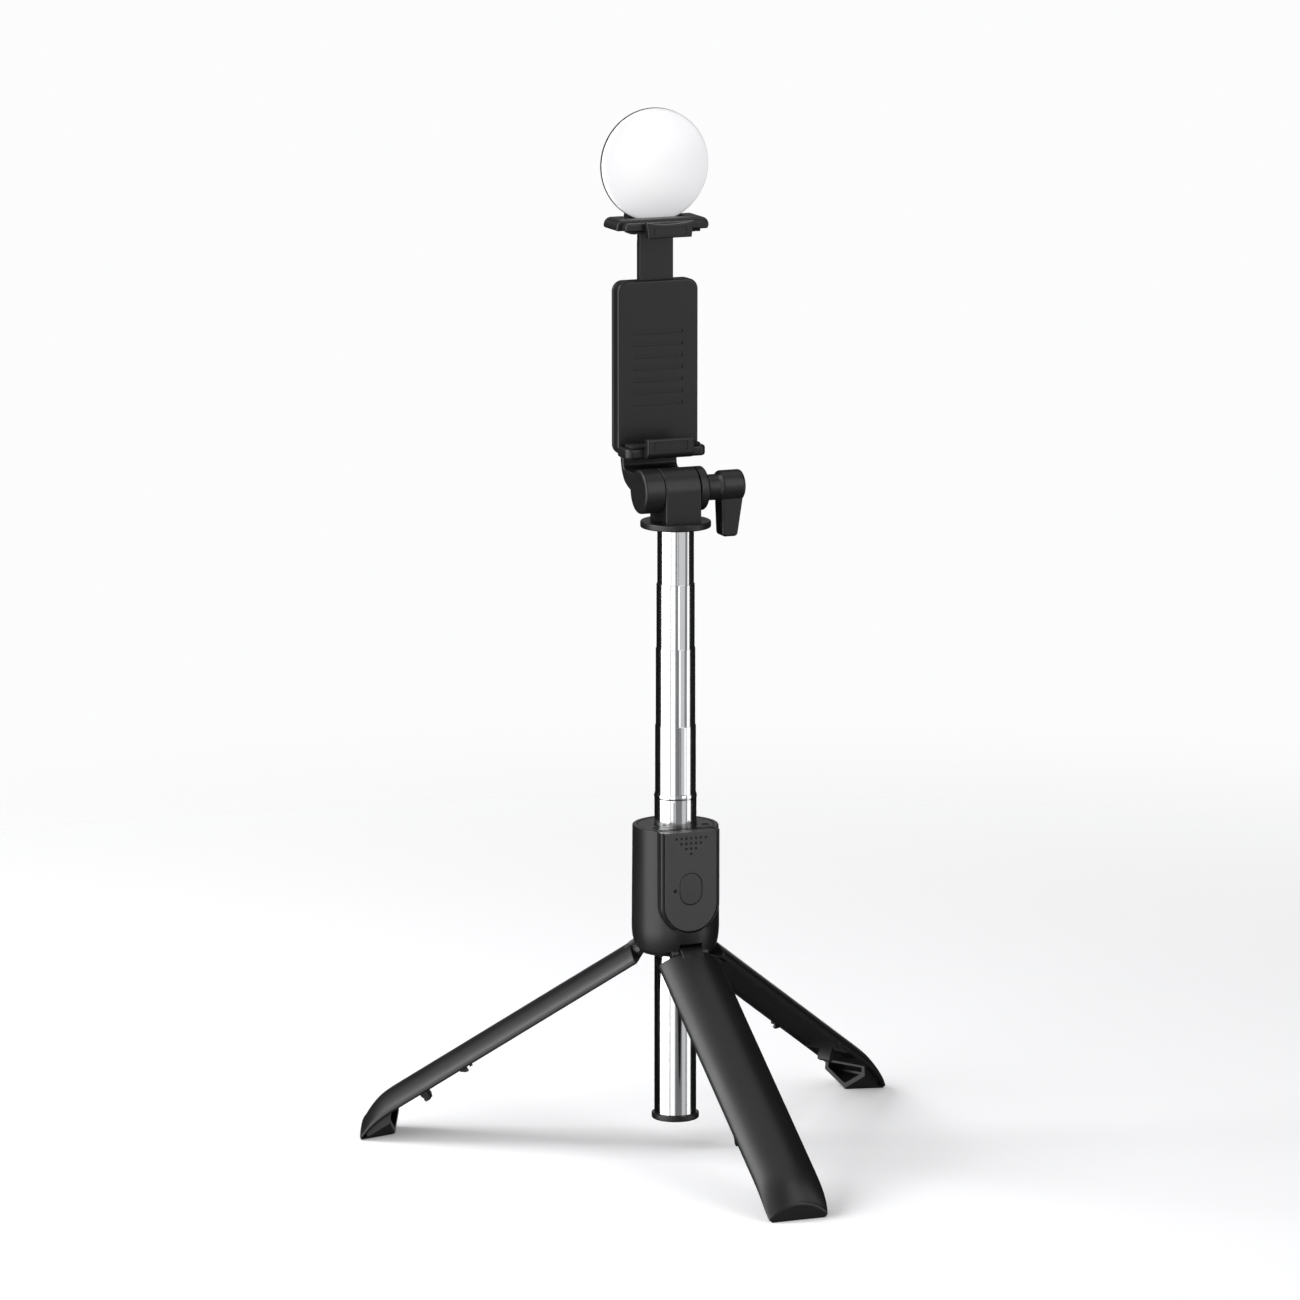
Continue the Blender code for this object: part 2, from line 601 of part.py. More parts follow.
def upper_jaw():
    z = JAW_TOP
    head = rounded_box(-JAW_HALF_WIDTH, JAW_SEAT_Z + 0.8, JAW_HALF_WIDTH, z, 1.7)
    jaw = prism(head, "Y", 7.5, 23.5)
    lip = [(12.0, z - 0.2), (12.0, 309.7), (7.3, 309.7), (6.9, 307.4), (5.0, 307.4), (4.6, 307.9)]
    lip += [(4.6, z - 0.6), (5.0, z - 0.2)]
    fuse(jaw, prism(lip, "X", -LIP_HALF_WIDTH, LIP_HALF_WIDTH))
    fuse(jaw, prism(box_outline(-6.0, 252.0, 6.0, 311.0), "Y", 16.9, 19.8))
    fuse(jaw, prism(box_outline(-10.2, 272.0, 10.2, 276.0), "Y", 17.0, 19.7))
    carve(jaw, prism(box_outline(-9.9, 310.9, 9.9, 320.0), "Y", 15.9, 30.0))
    carve(jaw, prism(box_outline(-9.8, 305.0, 9.8, 320.0), "Y", 19.4, 30.0))
    carve(jaw, rod(0.95, "X", (LIGHT_PIN_Y, LIGHT_PIN_Z), -13.5, 13.5))
    return jaw


def rear_cover():
    outline = rounded_box(-CLAMP_HALF_WIDTH, CLAMP_BOTTOM + 0.1, CLAMP_HALF_WIDTH, CLAMP_TOP - 0.1, 3.5)
    cover = prism(outline, "Y", PLATE_BACK + 0.1, COVER_BACK)
    return carve(cover, rod(3.9, "Y", (0, PIVOT_Z), 15.0, 30.0, 32))


def pivot_rivet():
    profile = [(0.0, 20.3), (3.8, 20.3), (3.8, 24.8), (5.5, 24.8), (5.5, 25.6), (4.9, 26.1), (0.0, 26.1)]
    return turned(profile, "Y", (0, PIVOT_Z), 32)


def build_clamp(tilt, shades):
    clamp = pivot("clamp_turn", (0, ARM_FRONT, PIVOT_Z), tilt)
    jaw = pivot("jaw_slide", (0, 18.3, CLAMP_TOP), clamp)
    piece("clamp_body", clamp_body(), shades["black_plastic"], clamp)
    piece("clamp_rear_cover", rear_cover(), shades["black_plastic"], clamp)
    piece("clamp_pivot_rivet", pivot_rivet(), shades["dark_steel"], clamp)
    seat = rounded_box(-12.5, 7.9, 12.5, 15.2, 1.5)
    low_pad = prism(seat, "Z", SEAT_Z - 0.8, SEAT_Z)
    piece("lower_jaw_pad", low_pad, shades["rubber"], clamp)
    for side, word in ((-1, "left"), (1, "right")):
        spring = ring(0.7, 1.3, "Z", (side * 8.4, 18.3), 238.0, 271.8, 12)
        piece(f"clamp_spring_{word}", spring, shades["spring_steel"], clamp)
    piece("upper_jaw", upper_jaw(), shades["black_plastic"], jaw)
    high_pad = prism(seat, "Z", JAW_SEAT_Z, JAW_SEAT_Z + 0.7)
    piece("upper_jaw_pad", high_pad, shades["rubber"], jaw)
    pin = rod(0.88, "X", (LIGHT_PIN_Y, LIGHT_PIN_Z), -13.0, 13.0)
    piece("light_hinge_pin", pin, shades["dark_steel"], jaw)
    return jaw


# ---- fill light -----------------------------------------------------------------------------------------
def light_housing():
    inner = LIGHT_RADIUS - 1.0
    profile = [(0.0, LIGHT_BACK), (LIGHT_RADIUS - 0.8, LIGHT_BACK), (LIGHT_RADIUS, LIGHT_BACK - 0.8)]
    profile += [(LIGHT_RADIUS, LIGHT_SPLIT), (inner, LIGHT_SPLIT), (inner, 19.95), (0.0, 19.95)]
    housing = turned(profile, "Y", (0, LIGHT_Z), 48)
    chin = arc((LIGHT_PIN_Y, LIGHT_PIN_Z), 1.85, 180, 360, 10)
    chin += arc((LIGHT_PIN_Y, LIGHT_PIN_Z), 1.85, 0, 60, 4) + [(20.4, 314.3), (16.6, 314.3), (16.6, 311.3)]
    fuse(housing, prism(chin, "X", -CHIN_HALF_WIDTH, CHIN_HALF_WIDTH))
    carve(housing, rod(0.95, "X", (LIGHT_PIN_Y, LIGHT_PIN_Z), -12, 12))
    carve(housing, rod(2.6, "Y", (0, 320.0), 19.0, 25.0, 24))
    return housing


def dome(radius, height):
    """Front surface of the diffuser: how far it falls back at a radius."""
    return height * (radius / LIGHT_RADIUS) ** 2


def light_diffuser():
    rim = LIGHT_RADIUS - 0.3
    radii = [rim * i / 4 for i in range(5)]
    profile = [(r, LIGHT_FRONT + dome(r, 1.15)) for r in radii]
    profile += [(rim, LIGHT_SPLIT - 0.1), (rim - 1.0, LIGHT_SPLIT - 0.1)]
    profile += [(r, LIGHT_FRONT + 0.75 + dome(r, 1.0)) for r in reversed(radii[:-1]) if r < rim - 1.2]
    diffuser = turned(profile, "Y", (0, LIGHT_Z), 48)
    carve(diffuser, prism(box_outline(-9.7, 300.0, 9.7, 314.6), "Y", 10, 30))
    return diffuser


def build_light(jaw, shades):
    light = pivot("light_flip", (0, LIGHT_PIN_Y, LIGHT_PIN_Z), jaw)
    press = pivot("light_press", (0, LIGHT_BACK, 320.0), light)
    piece("light_housing", light_housing(), shades["black_plastic"], light)
    piece("light_diffuser", light_diffuser(), shades["diffuser"], light)
    board = rod(15.0, "Y", (0, LIGHT_Z), 18.45, 18.95, 40)
    piece("light_led_board", board, shades["white_board"], light)
    cell = rounded_box(-11.0, 326.0, 11.0, 341.0, 1.0, 3)
    piece("light_battery", prism(cell, "Y", 19.05, 19.85), shades["cell_steel"], light)
    button = [(0.0, 20.25), (2.4, 20.25), (2.4, 21.0), (2.1, 21.2), (0.0, 21.2)]
    piece("light_button", turned(button, "Y", (0, 320.0), 24), shades["button_plastic"], press)


def make_shades():
    return {
        "black_plastic": material("black_plastic", (0.018, 0.018, 0.019), 0.42),
        "button_plastic": material("button_plastic", (0.02, 0.02, 0.021), 0.5),
        "rubber": material("rubber", (0.014, 0.014, 0.014), 0.75),
        "nylon": material("nylon", (0.03, 0.03, 0.03), 0.5),
        "chrome": material("chrome", (0.86, 0.87, 0.88), 0.07, 1.0),
        "dark_steel": material("dark_steel", (0.2, 0.2, 0.21), 0.35, 1.0),
        "spring_steel": material("spring_steel", (0.55, 0.55, 0.56), 0.3, 1.0),
        "brass": material("brass", (0.72, 0.55, 0.28), 0.3, 1.0),
        "cell_steel": material("cell_steel", (0.6, 0.6, 0.61), 0.3, 1.0),
        "circuit_board": material("circuit_board", (0.02, 0.14, 0.06), 0.5),
        "white_board": material("white_board", (0.8, 0.8, 0.78), 0.5),
        "diffuser": material("diffuser", (0.93, 0.93, 0.94), 0.25),
        "amber": material("amber", (0.5, 0.25, 0.05), 0.3),
    }


def main():
    for old in list(bpy.data.objects):
        bpy.data.objects.remove(old)
    shades = make_shades()
    stand = pivot("stand", (0.0, 0.0, 0.0))
    stand.location = (0.0, POLE_Y * MM, 0.0)
    build_hub(stand, shades)
    build_legs(stand, shades)
    build_remote(stand, shades)
    stage_1 = build_pole(stand, shades)
    tilt = build_head(stage_1, shades)
    jaw = build_clamp(tilt, shades)
    build_light(jaw, shades)
    bpy.context.view_layer.update()


main()
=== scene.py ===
# %% [markdown]
# # A pocket selfie stick that stands on its own legs
# The stick has four families of pieces: black moulded plastic (hub, legs, head, clamp), chromed
# telescopic tube, a round fill light with an opal front, and a small remote in a bay of the hub.
# The frame model already fixes where everything is and how it moves. This lesson builds the fine
# surface around it: rounded rims, grooves, ribs and finishes, one short cell at a time.

# %% Load the frame
import json
import math

import bmesh
import bpy
from mathutils import Matrix, Vector

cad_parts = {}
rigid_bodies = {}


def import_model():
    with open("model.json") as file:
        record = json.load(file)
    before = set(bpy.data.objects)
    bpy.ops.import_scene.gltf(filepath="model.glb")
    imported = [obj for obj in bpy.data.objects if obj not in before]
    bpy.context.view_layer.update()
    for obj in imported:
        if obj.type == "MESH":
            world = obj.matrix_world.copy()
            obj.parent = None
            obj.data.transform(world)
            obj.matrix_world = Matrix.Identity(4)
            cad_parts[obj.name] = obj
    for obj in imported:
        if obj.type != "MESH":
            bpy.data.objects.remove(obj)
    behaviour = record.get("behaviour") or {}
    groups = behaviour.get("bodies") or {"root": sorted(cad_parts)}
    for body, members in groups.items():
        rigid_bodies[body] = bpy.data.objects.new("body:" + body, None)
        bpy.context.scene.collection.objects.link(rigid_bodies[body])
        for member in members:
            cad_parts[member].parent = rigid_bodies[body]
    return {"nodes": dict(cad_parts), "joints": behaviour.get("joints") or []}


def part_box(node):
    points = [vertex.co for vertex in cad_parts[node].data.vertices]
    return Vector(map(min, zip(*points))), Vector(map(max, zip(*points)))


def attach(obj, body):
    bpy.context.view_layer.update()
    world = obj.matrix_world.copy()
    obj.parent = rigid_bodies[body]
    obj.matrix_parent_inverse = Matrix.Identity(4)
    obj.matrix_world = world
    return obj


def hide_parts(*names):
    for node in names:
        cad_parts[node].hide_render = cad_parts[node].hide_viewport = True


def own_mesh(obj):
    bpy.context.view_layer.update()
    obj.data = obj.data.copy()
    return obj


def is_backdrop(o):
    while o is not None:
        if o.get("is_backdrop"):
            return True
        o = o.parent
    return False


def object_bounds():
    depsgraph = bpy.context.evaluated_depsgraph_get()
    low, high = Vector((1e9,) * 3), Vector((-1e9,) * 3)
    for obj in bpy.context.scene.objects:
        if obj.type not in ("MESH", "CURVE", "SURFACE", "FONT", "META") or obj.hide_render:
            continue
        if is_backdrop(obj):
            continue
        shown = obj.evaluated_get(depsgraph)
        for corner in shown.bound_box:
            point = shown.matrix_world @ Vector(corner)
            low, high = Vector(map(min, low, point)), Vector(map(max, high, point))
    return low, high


for old in list(bpy.data.objects):
    bpy.data.objects.remove(old)
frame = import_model()
cad_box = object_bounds()
joints = {joint["name"]: joint for joint in frame["joints"]}

# %% [markdown]
# All lengths below are in millimetres in the stand's own frame: the pole is the Z axis, the floor
# is Z = 0 and the front is -Y. The frame says where the pole stands, so one matrix carries a shape
# from the stand's frame to the model's.

# %% The stand's frame
MM = 0.001


def span(node):
    """A node's lowest and highest corners in millimetres, measured from the pole axis."""
    low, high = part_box(node)
    return (low - POLE) / MM, (high - POLE) / MM


swivel = joints["head_swivel"]["pos_m"]
POLE = Vector((swivel[0], swivel[1], 0.0))
STAND = Matrix.Translation(POLE) @ Matrix.Scale(MM, 4)
print("pole stands at", [round(c / MM, 2) for c in POLE])

# %% [markdown]
# ## Shape tools
# A moulded part is mostly two things: a turned shape, or a plate cut to an outline. Both have
# rounded rims, because a sharp rim never leaves a mould and catches no light. So `turned` spins an
# outline, and `slab` stacks copies of an outline that shrink along a quarter circle at each end.
# Everything goes through `solid`, which joins rings of points into one closed skin.

# %% Outlines and solids
def arc(centre, radius, start, end, steps=12):
    angles = [math.radians(start + (end - start) * i / steps) for i in range(steps + 1)]
    return [(centre[0] + radius * math.cos(a), centre[1] + radius * math.sin(a)) for a in angles]


def circle(centre, radius, steps=48):
    return arc(centre, radius, 0.0, 360.0, steps)[:-1]


def rounded_box(low_u, low_v, high_u, high_v, radius, steps=6):
    return (
        arc((low_u + radius, low_v + radius), radius, 180, 270, steps)
        + arc((high_u - radius, low_v + radius), radius, 270, 360, steps)
        + arc((high_u - radius, high_v - radius), radius, 0, 90, steps)
        + arc((low_u + radius, high_v - radius), radius, 90, 180, steps)
    )


def box_outline(low_u, low_v, high_u, high_v):
    return [(low_u, low_v), (high_u, low_v), (high_u, high_v), (low_u, high_v)]


def on_axis(axis, along, u, v):
    return {"X": (along, u, v), "Y": (u, along, v), "Z": (u, v, along)}[axis]


def solid(name, rings, closed=False, place=STAND):
    """One closed skin over rings of points; a ring of one point is a tip."""
    skin = bmesh.new()
    loops = [[skin.verts.new(place @ Vector(point)) for point in ring] for ring in rings]
    pairs = list(zip(loops, loops[1:]))
    if closed:
        pairs.append((loops[-1], loops[0]))
    for lower, upper in pairs:
        count = max(len(lower), len(upper))
        for i in range(count):
            j = (i + 1) % count
            corners = [lower[i % len(lower)], lower[j % len(lower)]]
            corners += [upper[j % len(upper)], upper[i % len(upper)]]
            corners = list(dict.fromkeys(corners))
            if len(corners) > 2:
                skin.faces.new(corners)
    if not closed:
        for loop in (loops[0], loops[-1]):
            if len(loop) > 2:
                skin.faces.new(loop)
    bmesh.ops.recalc_face_normals(skin, faces=skin.faces)
    if skin.calc_volume(signed=True) < 0.0:
        bmesh.ops.reverse_faces(skin, faces=skin.faces)
    mesh = bpy.data.meshes.new(name)
    skin.to_mesh(mesh)
    skin.free()
    shape = bpy.data.objects.new(name, mesh)
    bpy.context.scene.collection.objects.link(shape)
    return shape


# %% [markdown]
# Three recipes use that skin. A prism is straight, a slab is a prism with rounded rims, and a
# turned shape spins an outline. Each takes the axis it runs along, so outlines stay flat lists.

# %% Prisms, slabs and turned shapes
def distinct(outline):
    """Drops points that repeat the one before, where two arcs meet."""
    pairs = zip([outline[-1]] + outline, outline)
    return [here for before, here in pairs if math.dist(before, here) > 0.001]


def inset(outline, amount):
    """Moves each point of an outline inwards, along the middle of its two sides."""
    count = len(outline)
    area = sum(
        outline[i][0] * outline[(i + 1) % count][1] - outline[(i + 1) % count][0] * outline[i][1]
        for i in range(count)
    )
    turn = 1.0 if area > 0 else -1.0
    moved = []
    for i, (u, v) in enumerate(outline):
        before = Vector((u, v)) - Vector(outline[i - 1])
        after = Vector(outline[(i + 1) % count]) - Vector((u, v))
        first = Vector((-before.y, before.x)).normalized() * turn
        second = Vector((-after.y, after.x)).normalized() * turn
        step = (first + second) * (amount / max(0.3, 1.0 + first.dot(second)))
        moved.append((u + step.x, v + step.y))
    return moved


def prism(outline, axis, low, high, place=STAND):
    outline = distinct(outline)
    rings = [[on_axis(axis, along, u, v) for u, v in outline] for along in (low, high)]
    return solid("prism", rings, place=place)


def slab(outline, axis, low, high, rim, place=STAND, steps=4):
    """A prism whose two ends are rounded by the radius rim."""
    outline = distinct(outline)
    rings = []
    for i in range(steps + 1):
        lean = math.radians(90.0 * i / steps)
        shape = inset(outline, rim * (1.0 - math.sin(lean)))
        depth = rim * (1.0 - math.cos(lean))
        rings.append((depth, shape))
    stack = [(low + depth, shape) for depth, shape in rings]
    stack += [(high - depth, shape) for depth, shape in reversed(rings)]
    return solid("slab", [[on_axis(axis, at, u, v) for u, v in s] for at, s in stack], place=place)


def turned(profile, axis, centre, steps=96, place=STAND):
    """Spins a closed outline of (radius, place along the axis) points."""
    rings = []
    for radius, along in profile:
        if radius == 0.0:
            rings.append([on_axis(axis, along, *centre)])
        else:
            rings.append([on_axis(axis, along, u, v) for u, v in circle(centre, radius, steps)])
    tips = profile[0][0] == 0.0 and profile[-1][0] == 0.0
    return solid("turned", rings, closed=not tips, place=place)


def puck(radius, axis, centre, low, high, rim, steps=64, place=STAND):
    """A solid disc or rod with rounded rims."""
    profile = [(0.0, low)] + arc((radius - rim, low + rim), rim, -90, 0, 4)
    profile += arc((radius - rim, high - rim), rim, 0, 90, 4) + [(0.0, high)]
    return turned(profile, axis, centre, steps, place)


# %% [markdown]
# Holes, pockets and joined bodies come from Booleans. Each is applied at once, so the cutters are
# gone before the next step and none of them is left behind.

# %% Joining and cutting
def combine(body, tool, operation):
    step = body.modifiers.new("combine", "BOOLEAN")
    step.operation = operation
    step.object = tool
    bpy.context.view_layer.update()
    evaluated = body.evaluated_get(bpy.context.evaluated_depsgraph_get())
    result = bpy.data.meshes.new_from_object(evaluated)
    weld = bmesh.new()
    weld.from_mesh(result)
    bmesh.ops.remove_doubles(weld, verts=weld.verts, dist=2e-7)
    weld.to_mesh(result)
    weld.free()
    body.modifiers.clear()
    body.data = result
    bpy.data.objects.remove(tool)


def fuse(body, *additions):
    for addition in additions:
        combine(body, addition, "UNION")
    return body


def carve(body, *cutters):
    for cutter in cutters:
        combine(body, cutter, "DIFFERENCE")
    return body


def keep(body, *limits):
    for limit in limits:
        combine(body, limit, "INTERSECT")
    return body


def gather(shapes):
    """Several separate cutters as one object, so that one Boolean does the work of many."""
    bunch = bmesh.new()
    for shape in shapes:
        bunch.from_mesh(shape.data)
        bpy.data.objects.remove(shape)
    mesh = bpy.data.meshes.new("bunch")
    bunch.to_mesh(mesh)
    bunch.free()
    whole = bpy.data.objects.new("bunch", mesh)
    bpy.context.scene.collection.objects.link(whole)
    return whole


# %% [markdown]
# ## Finishes
# A shader is easier to read as arithmetic than as a web of nodes. The class below wraps one output
# of a node. Adding or multiplying two wires adds a Math node, and any other node comes from
# `node`, which takes its type, its settings, and what its sockets get.

# %% Shader arithmetic
class Wire:
    def __init__(self, tree, socket=None):
        self.tree = tree
        self.socket = socket

    def node(self, kind, settings=None, values=None, output=0):
        made = self.tree.nodes.new(kind)
        for key, value in (settings or {}).items():
            if key == "stops":
                first, last = made.color_ramp.elements[0], made.color_ramp.elements[1]
                first.position, first.color = value[0]
                last.position, last.color = value[1]
            else:
                setattr(made, key, value)
        for key, value in (values or {}).items():
            if isinstance(value, Wire):
                self.tree.links.new(value.socket, made.inputs[key])
            else:
                made.inputs[key].default_value = value
        return Wire(self.tree, made.outputs[output])

    def maths(self, operation, first, second):
        return self.node("ShaderNodeMath", {"operation": operation}, {0: first, 1: second})

    def __add__(self, other):
        return self.maths("ADD", self, other)

    def __mul__(self, other):
        return self.maths("MULTIPLY", self, other)

    def noise(self, scale, detail=3.0, stretch=(1.0, 1.0, 1.0)):
        """Noise over the piece in millimetres: scale is roughly the number of blobs per mm."""
        where = self.node("ShaderNodeTexCoord", output=3)
        size = tuple(scale / MM * s for s in stretch)
        mapped = self.node("ShaderNodeMapping", None, {"Vector": where, "Scale": size})
        return self.node("ShaderNodeTexNoise", None, {"Vector": mapped, "Scale": 1.0, "Detail": detail})

    def mix(self, amount, low, high):
        """A colour between low and high."""
        return self.node(
            "ShaderNodeMix", {"data_type": "RGBA"}, {0: amount, 6: (*low, 1.0), 7: (*high, 1.0)}, 2
        )

    def bump(self, height, strength, depth_mm):
        values = {"Height": height, "Strength": strength, "Distance": depth_mm * MM}
        return self.node("ShaderNodeBump", None, values)


def new_finish(name, constants):
    """A Principled material; constants go straight on the shader's own sockets."""
    finish = bpy.data.materials.new(name)
    finish.use_nodes = True
    shader = finish.node_tree.nodes["Principled BSDF"]
    for key, value in constants.items():
        shader.inputs[key].default_value = value
    return finish, Wire(finish.node_tree), shader


def feed(wire, shader, key):
    wire.tree.links.new(wire.socket, shader.inputs[key])


def ramp(start, end):
    """Settings of a colour ramp that runs from black to white between two places."""
    return {"stops": ((start, (0, 0, 0, 1)), (end, (1, 1, 1, 1)))}


# %% [markdown]
# The black plastic is ABS from a spark-eroded mould: a very fine, even grain that spreads the
# light into soft bands. Its gloss varies a little from flow and handling, and a few pale specks of
# dust and rubbing keep it from looking like paint. One recipe covers the shells, the keys and the
# nylon inside, with different grain.

# %% Moulded plastics
def moulded(name, dark, light, gloss, grain_per_mm, grain_depth, sheen=0.5):
    finish, wire, shader = new_finish(name, {"Specular IOR Level": sheen})
    grain = wire.noise(grain_per_mm, 2.0)
    flow = wire.noise(0.06, 4.0)
    rubbed = wire.noise(0.9, 6.0)
    specks = wire.node("ShaderNodeValToRGB", ramp(0.66, 0.78), {0: rubbed})
    feed(wire.mix(flow * 0.6 + specks * 0.35, dark, light), shader, "Base Color")
    feed(flow * 0.12 + grain * 0.08 + (gloss - 0.1), shader, "Roughness")
    feed(wire.bump(grain, 0.35, grain_depth), shader, "Normal")
    return finish


black_plastic = moulded("satin_black", (0.008, 0.008, 0.0085), (0.014, 0.014, 0.0145), 0.37, 9.0, 0.012)
remote_plastic = moulded("satin_graphite", (0.042, 0.042, 0.043), (0.052, 0.052, 0.053), 0.42, 1.2, 0.004)
key_plastic = moulded("key_plastic", (0.036, 0.036, 0.037), (0.048, 0.048, 0.049), 0.5, 14.0, 0.02)
nylon = moulded("natural_nylon", (0.02, 0.02, 0.021), (0.034, 0.034, 0.034), 0.5, 4.0, 0.01)
print("plastics:", black_plastic.name, key_plastic.name, nylon.name)

# %% [markdown]
# Rubber pads are softer: no clear highlight, and a coarser skin with pores.

# %% Rubber
PORES_PER_METRE = 2600.0


def rubber_finish():
    finish, wire, shader = new_finish("soft_rubber", {"Specular IOR Level": 0.35})
    where = wire.node("ShaderNodeTexCoord", output=3)
    skin = {"Vector": where, "Scale": PORES_PER_METRE}
    pores = wire.node("ShaderNodeTexVoronoi", {"distance": "EUCLIDEAN"}, skin)
    cloud = wire.noise(0.3, 4.0)
    feed(wire.mix(cloud, (0.008, 0.008, 0.008), (0.018, 0.018, 0.018)), shader, "Base Color")
    feed(cloud * 0.15 + 0.7, shader, "Roughness")
    feed(wire.bump(pores, 0.4, 0.03), shader, "Normal")
    return finish


rubber = rubber_finish()
print("rubber:", rubber.name)

# %% [markdown]
# The tubes are thin steel, drawn and then bright plated. Plating follows the drawing marks, so the
# mirror has faint lines along the tube, and fingers leave soft patches where it is less sharp.

# %% Metals
def plated(name, dark, light, gloss, lines):
    finish, wire, shader = new_finish(name, {"Metallic": 1.0})
    drawn = wire.noise(2.5, 3.0, (1.0, 1.0, 0.012))
    touch = wire.noise(0.05, 3.0)
    feed(wire.mix(touch, dark, light), shader, "Base Color")
    feed(drawn * lines + touch * 0.05 + gloss, shader, "Roughness")
    feed(wire.bump(drawn, 0.12, 0.004), shader, "Normal")
    return finish


def turned_metal(name, dark, light, gloss):
    finish, wire, shader = new_finish(name, {"Metallic": 1.0})
    marks = wire.noise(6.0, 2.0, (0.1, 1.0, 1.0))
    cloud = wire.noise(0.4, 4.0)
    feed(wire.mix(cloud, dark, light), shader, "Base Color")
    feed(marks * 0.2 + gloss, shader, "Roughness")
    feed(wire.bump(marks, 0.2, 0.01), shader, "Normal")
    return finish


chrome = plated("bright_plate", (0.84, 0.85, 0.86), (0.93, 0.935, 0.94), 0.075, 0.06)
dark_steel = turned_metal("blackened_steel", (0.10, 0.10, 0.105), (0.18, 0.18, 0.185), 0.28)
spring_steel = turned_metal("spring_wire", (0.48, 0.48, 0.49), (0.6, 0.6, 0.61), 0.22)
brass = turned_metal("turned_brass", (0.62, 0.44, 0.19), (0.76, 0.58, 0.3), 0.2)
cell_steel = turned_metal("cell_can", (0.55, 0.55, 0.56), (0.66, 0.66, 0.67), 0.25)
print("metals:", chrome.name, dark_steel.name, spring_steel.name, brass.name, cell_steel.name)

# %% [markdown]
# The light's front is a white opal dome. Light wanders inside opal plastic, so it looks whiter and
# flatter than paint, with a glossy skin on top. A weak glow stands in for that without a slow
# volume, as painted light. Glow and base colour fade from a point left of and above the middle
# towards the right rim: painted light on the left, painted shade on the right.

# %% Opal, boards and the indicator window
def opal_with_painted_light(centre):
    constants = {"Coat Weight": 0.5, "Coat Roughness": 0.08, "Emission Strength": 0.27}
    finish, wire, shader = new_finish("opal", constants)
    where = wire.node("ShaderNodeTexCoord", output=3)
    # Glow and base colour fade with distance from centre, which sits left of and above the dome's middle:
    # painted light near it, painted shade at the far rim.
    reach = wire.node(
        "ShaderNodeVectorMath", {"operation": "DISTANCE"}, {0: where, 1: centre}, output=1
    )
    fade = reach * (1.0 / 0.03)
    frost = wire.noise(3.0, 2.0)
    feed(wire.mix(fade, (0.93, 0.93, 0.935), (0.74, 0.74, 0.76)), shader, "Base Color")
    feed(wire.mix(fade, (1.0, 1.0, 1.0), (0.62, 0.62, 0.64)), shader, "Emission Color")
    feed(frost * 0.06 + 0.2, shader, "Roughness")
    feed(wire.bump(frost, 0.05, 0.005), shader, "Normal")
    return finish


def board_finish(name, mask, track):
    finish, wire, shader = new_finish(name, {"Coat Weight": 0.3})
    tracks = wire.noise(1.4, 0.0, (1.0, 1.0, 0.4))
    lines = wire.node("ShaderNodeValToRGB", ramp(0.5, 0.53), {0: tracks})
    feed(wire.mix(lines * 1.0, mask, track), shader, "Base Color")
    feed(lines * 0.1 + 0.35, shader, "Roughness")
    feed(wire.bump(lines * 1.0, 0.5, 0.02), shader, "Normal")
    return finish


circuit_board = board_finish("green_board", (0.01, 0.1, 0.04), (0.03, 0.2, 0.09))
white_board = board_finish("pale_board", (0.75, 0.75, 0.74), (0.85, 0.8, 0.55))
amber = moulded("amber_lens", (0.010, 0.006, 0.004), (0.018, 0.010, 0.005), 0.2, 2.0, 0.002)
print("materials so far:", len(bpy.data.materials))

# %% [markdown]
# ## Handing a piece to the frame
# Each finished piece rides on the body that carries it, hides the plain nodes it stands for, and
# takes its finish. The weighted normals keep flat faces flat to the eye and
# let only the rounded rims turn the light.

# %% Finish a piece
def present(shape, name, body, stands_for, finish, sharp=38.0):
    shape.name = name
    shape.data.name = name
    shape.data.materials.clear()
    shape.data.materials.append(finish)
    shape.data.shade_smooth()
    shape.data.set_sharp_from_angle(angle=math.radians(sharp))
    weigh = shape.modifiers.new("weigh", "WEIGHTED_NORMAL")
    weigh.keep_sharp = True
    weigh.weight = 80
    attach(shape, body)
    for node in stands_for:
        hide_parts(node)
    print(f"{name}: {len(shape.data.polygons)} faces on {body}")
    return shape


# %% [markdown]
# ## The hub
# The hub is a tall cup with a round bottom edge. Its front carries a raised U that frames the
# remote. Three notches in the bottom take the legs' tongues, with a knuckle each side for the pin.
# A lathe shape plus the U, then cuts for the bay, the bore and the notches, repeats the order in
# which a toolmaker would cut it.

# %% Hub sizes, read from the frame
_, hub_high = span("hub_shell")
plate_low, plate_high = span("hub_top_plate")
remote_low, remote_high = span("remote_front_shell")
back_low, back_high = span("remote_rear_shell")
button_low, button_high = span("shutter_button")
hinge = joints["leg_1_fold"]["pos_m"]
HINGE_RADIUS = abs(hinge[1] - POLE.y) / MM
HINGE_Z = hinge[2] / MM
PIN_BORE = 1.03
HUB_TOP = hub_high.z
HUB_BOTTOM = 67.4
HUB_RADIUS = 14.45
HUB_WAIST = 14.7
HUB_EDGE = 2.8
HUB_DRAFT = 0.9
HUB_BORE = 8.5
REMOTE_HALF = remote_high.x
REMOTE_ROUND_Z = remote_low.z + REMOTE_HALF
REMOTE_TOP = remote_high.z
LEG_AZIMUTHS = (-90.0, 30.0, 150.0)
NOTCH_HALF = 4.05
NOTCH_TOP = 72.3
SCREW_PLACES = ((-9.0, -4.5), (9.0, -4.5))
print("hub", round(HUB_TOP, 2), "remote half width", round(REMOTE_HALF, 2))


def u_outline(half, top, steps=32):
    """Straight sides, round bottom: the remote and its bay."""
    return arc((0, REMOTE_ROUND_Z), half, 180, 360, steps) + [(half, top), (-half, top)]


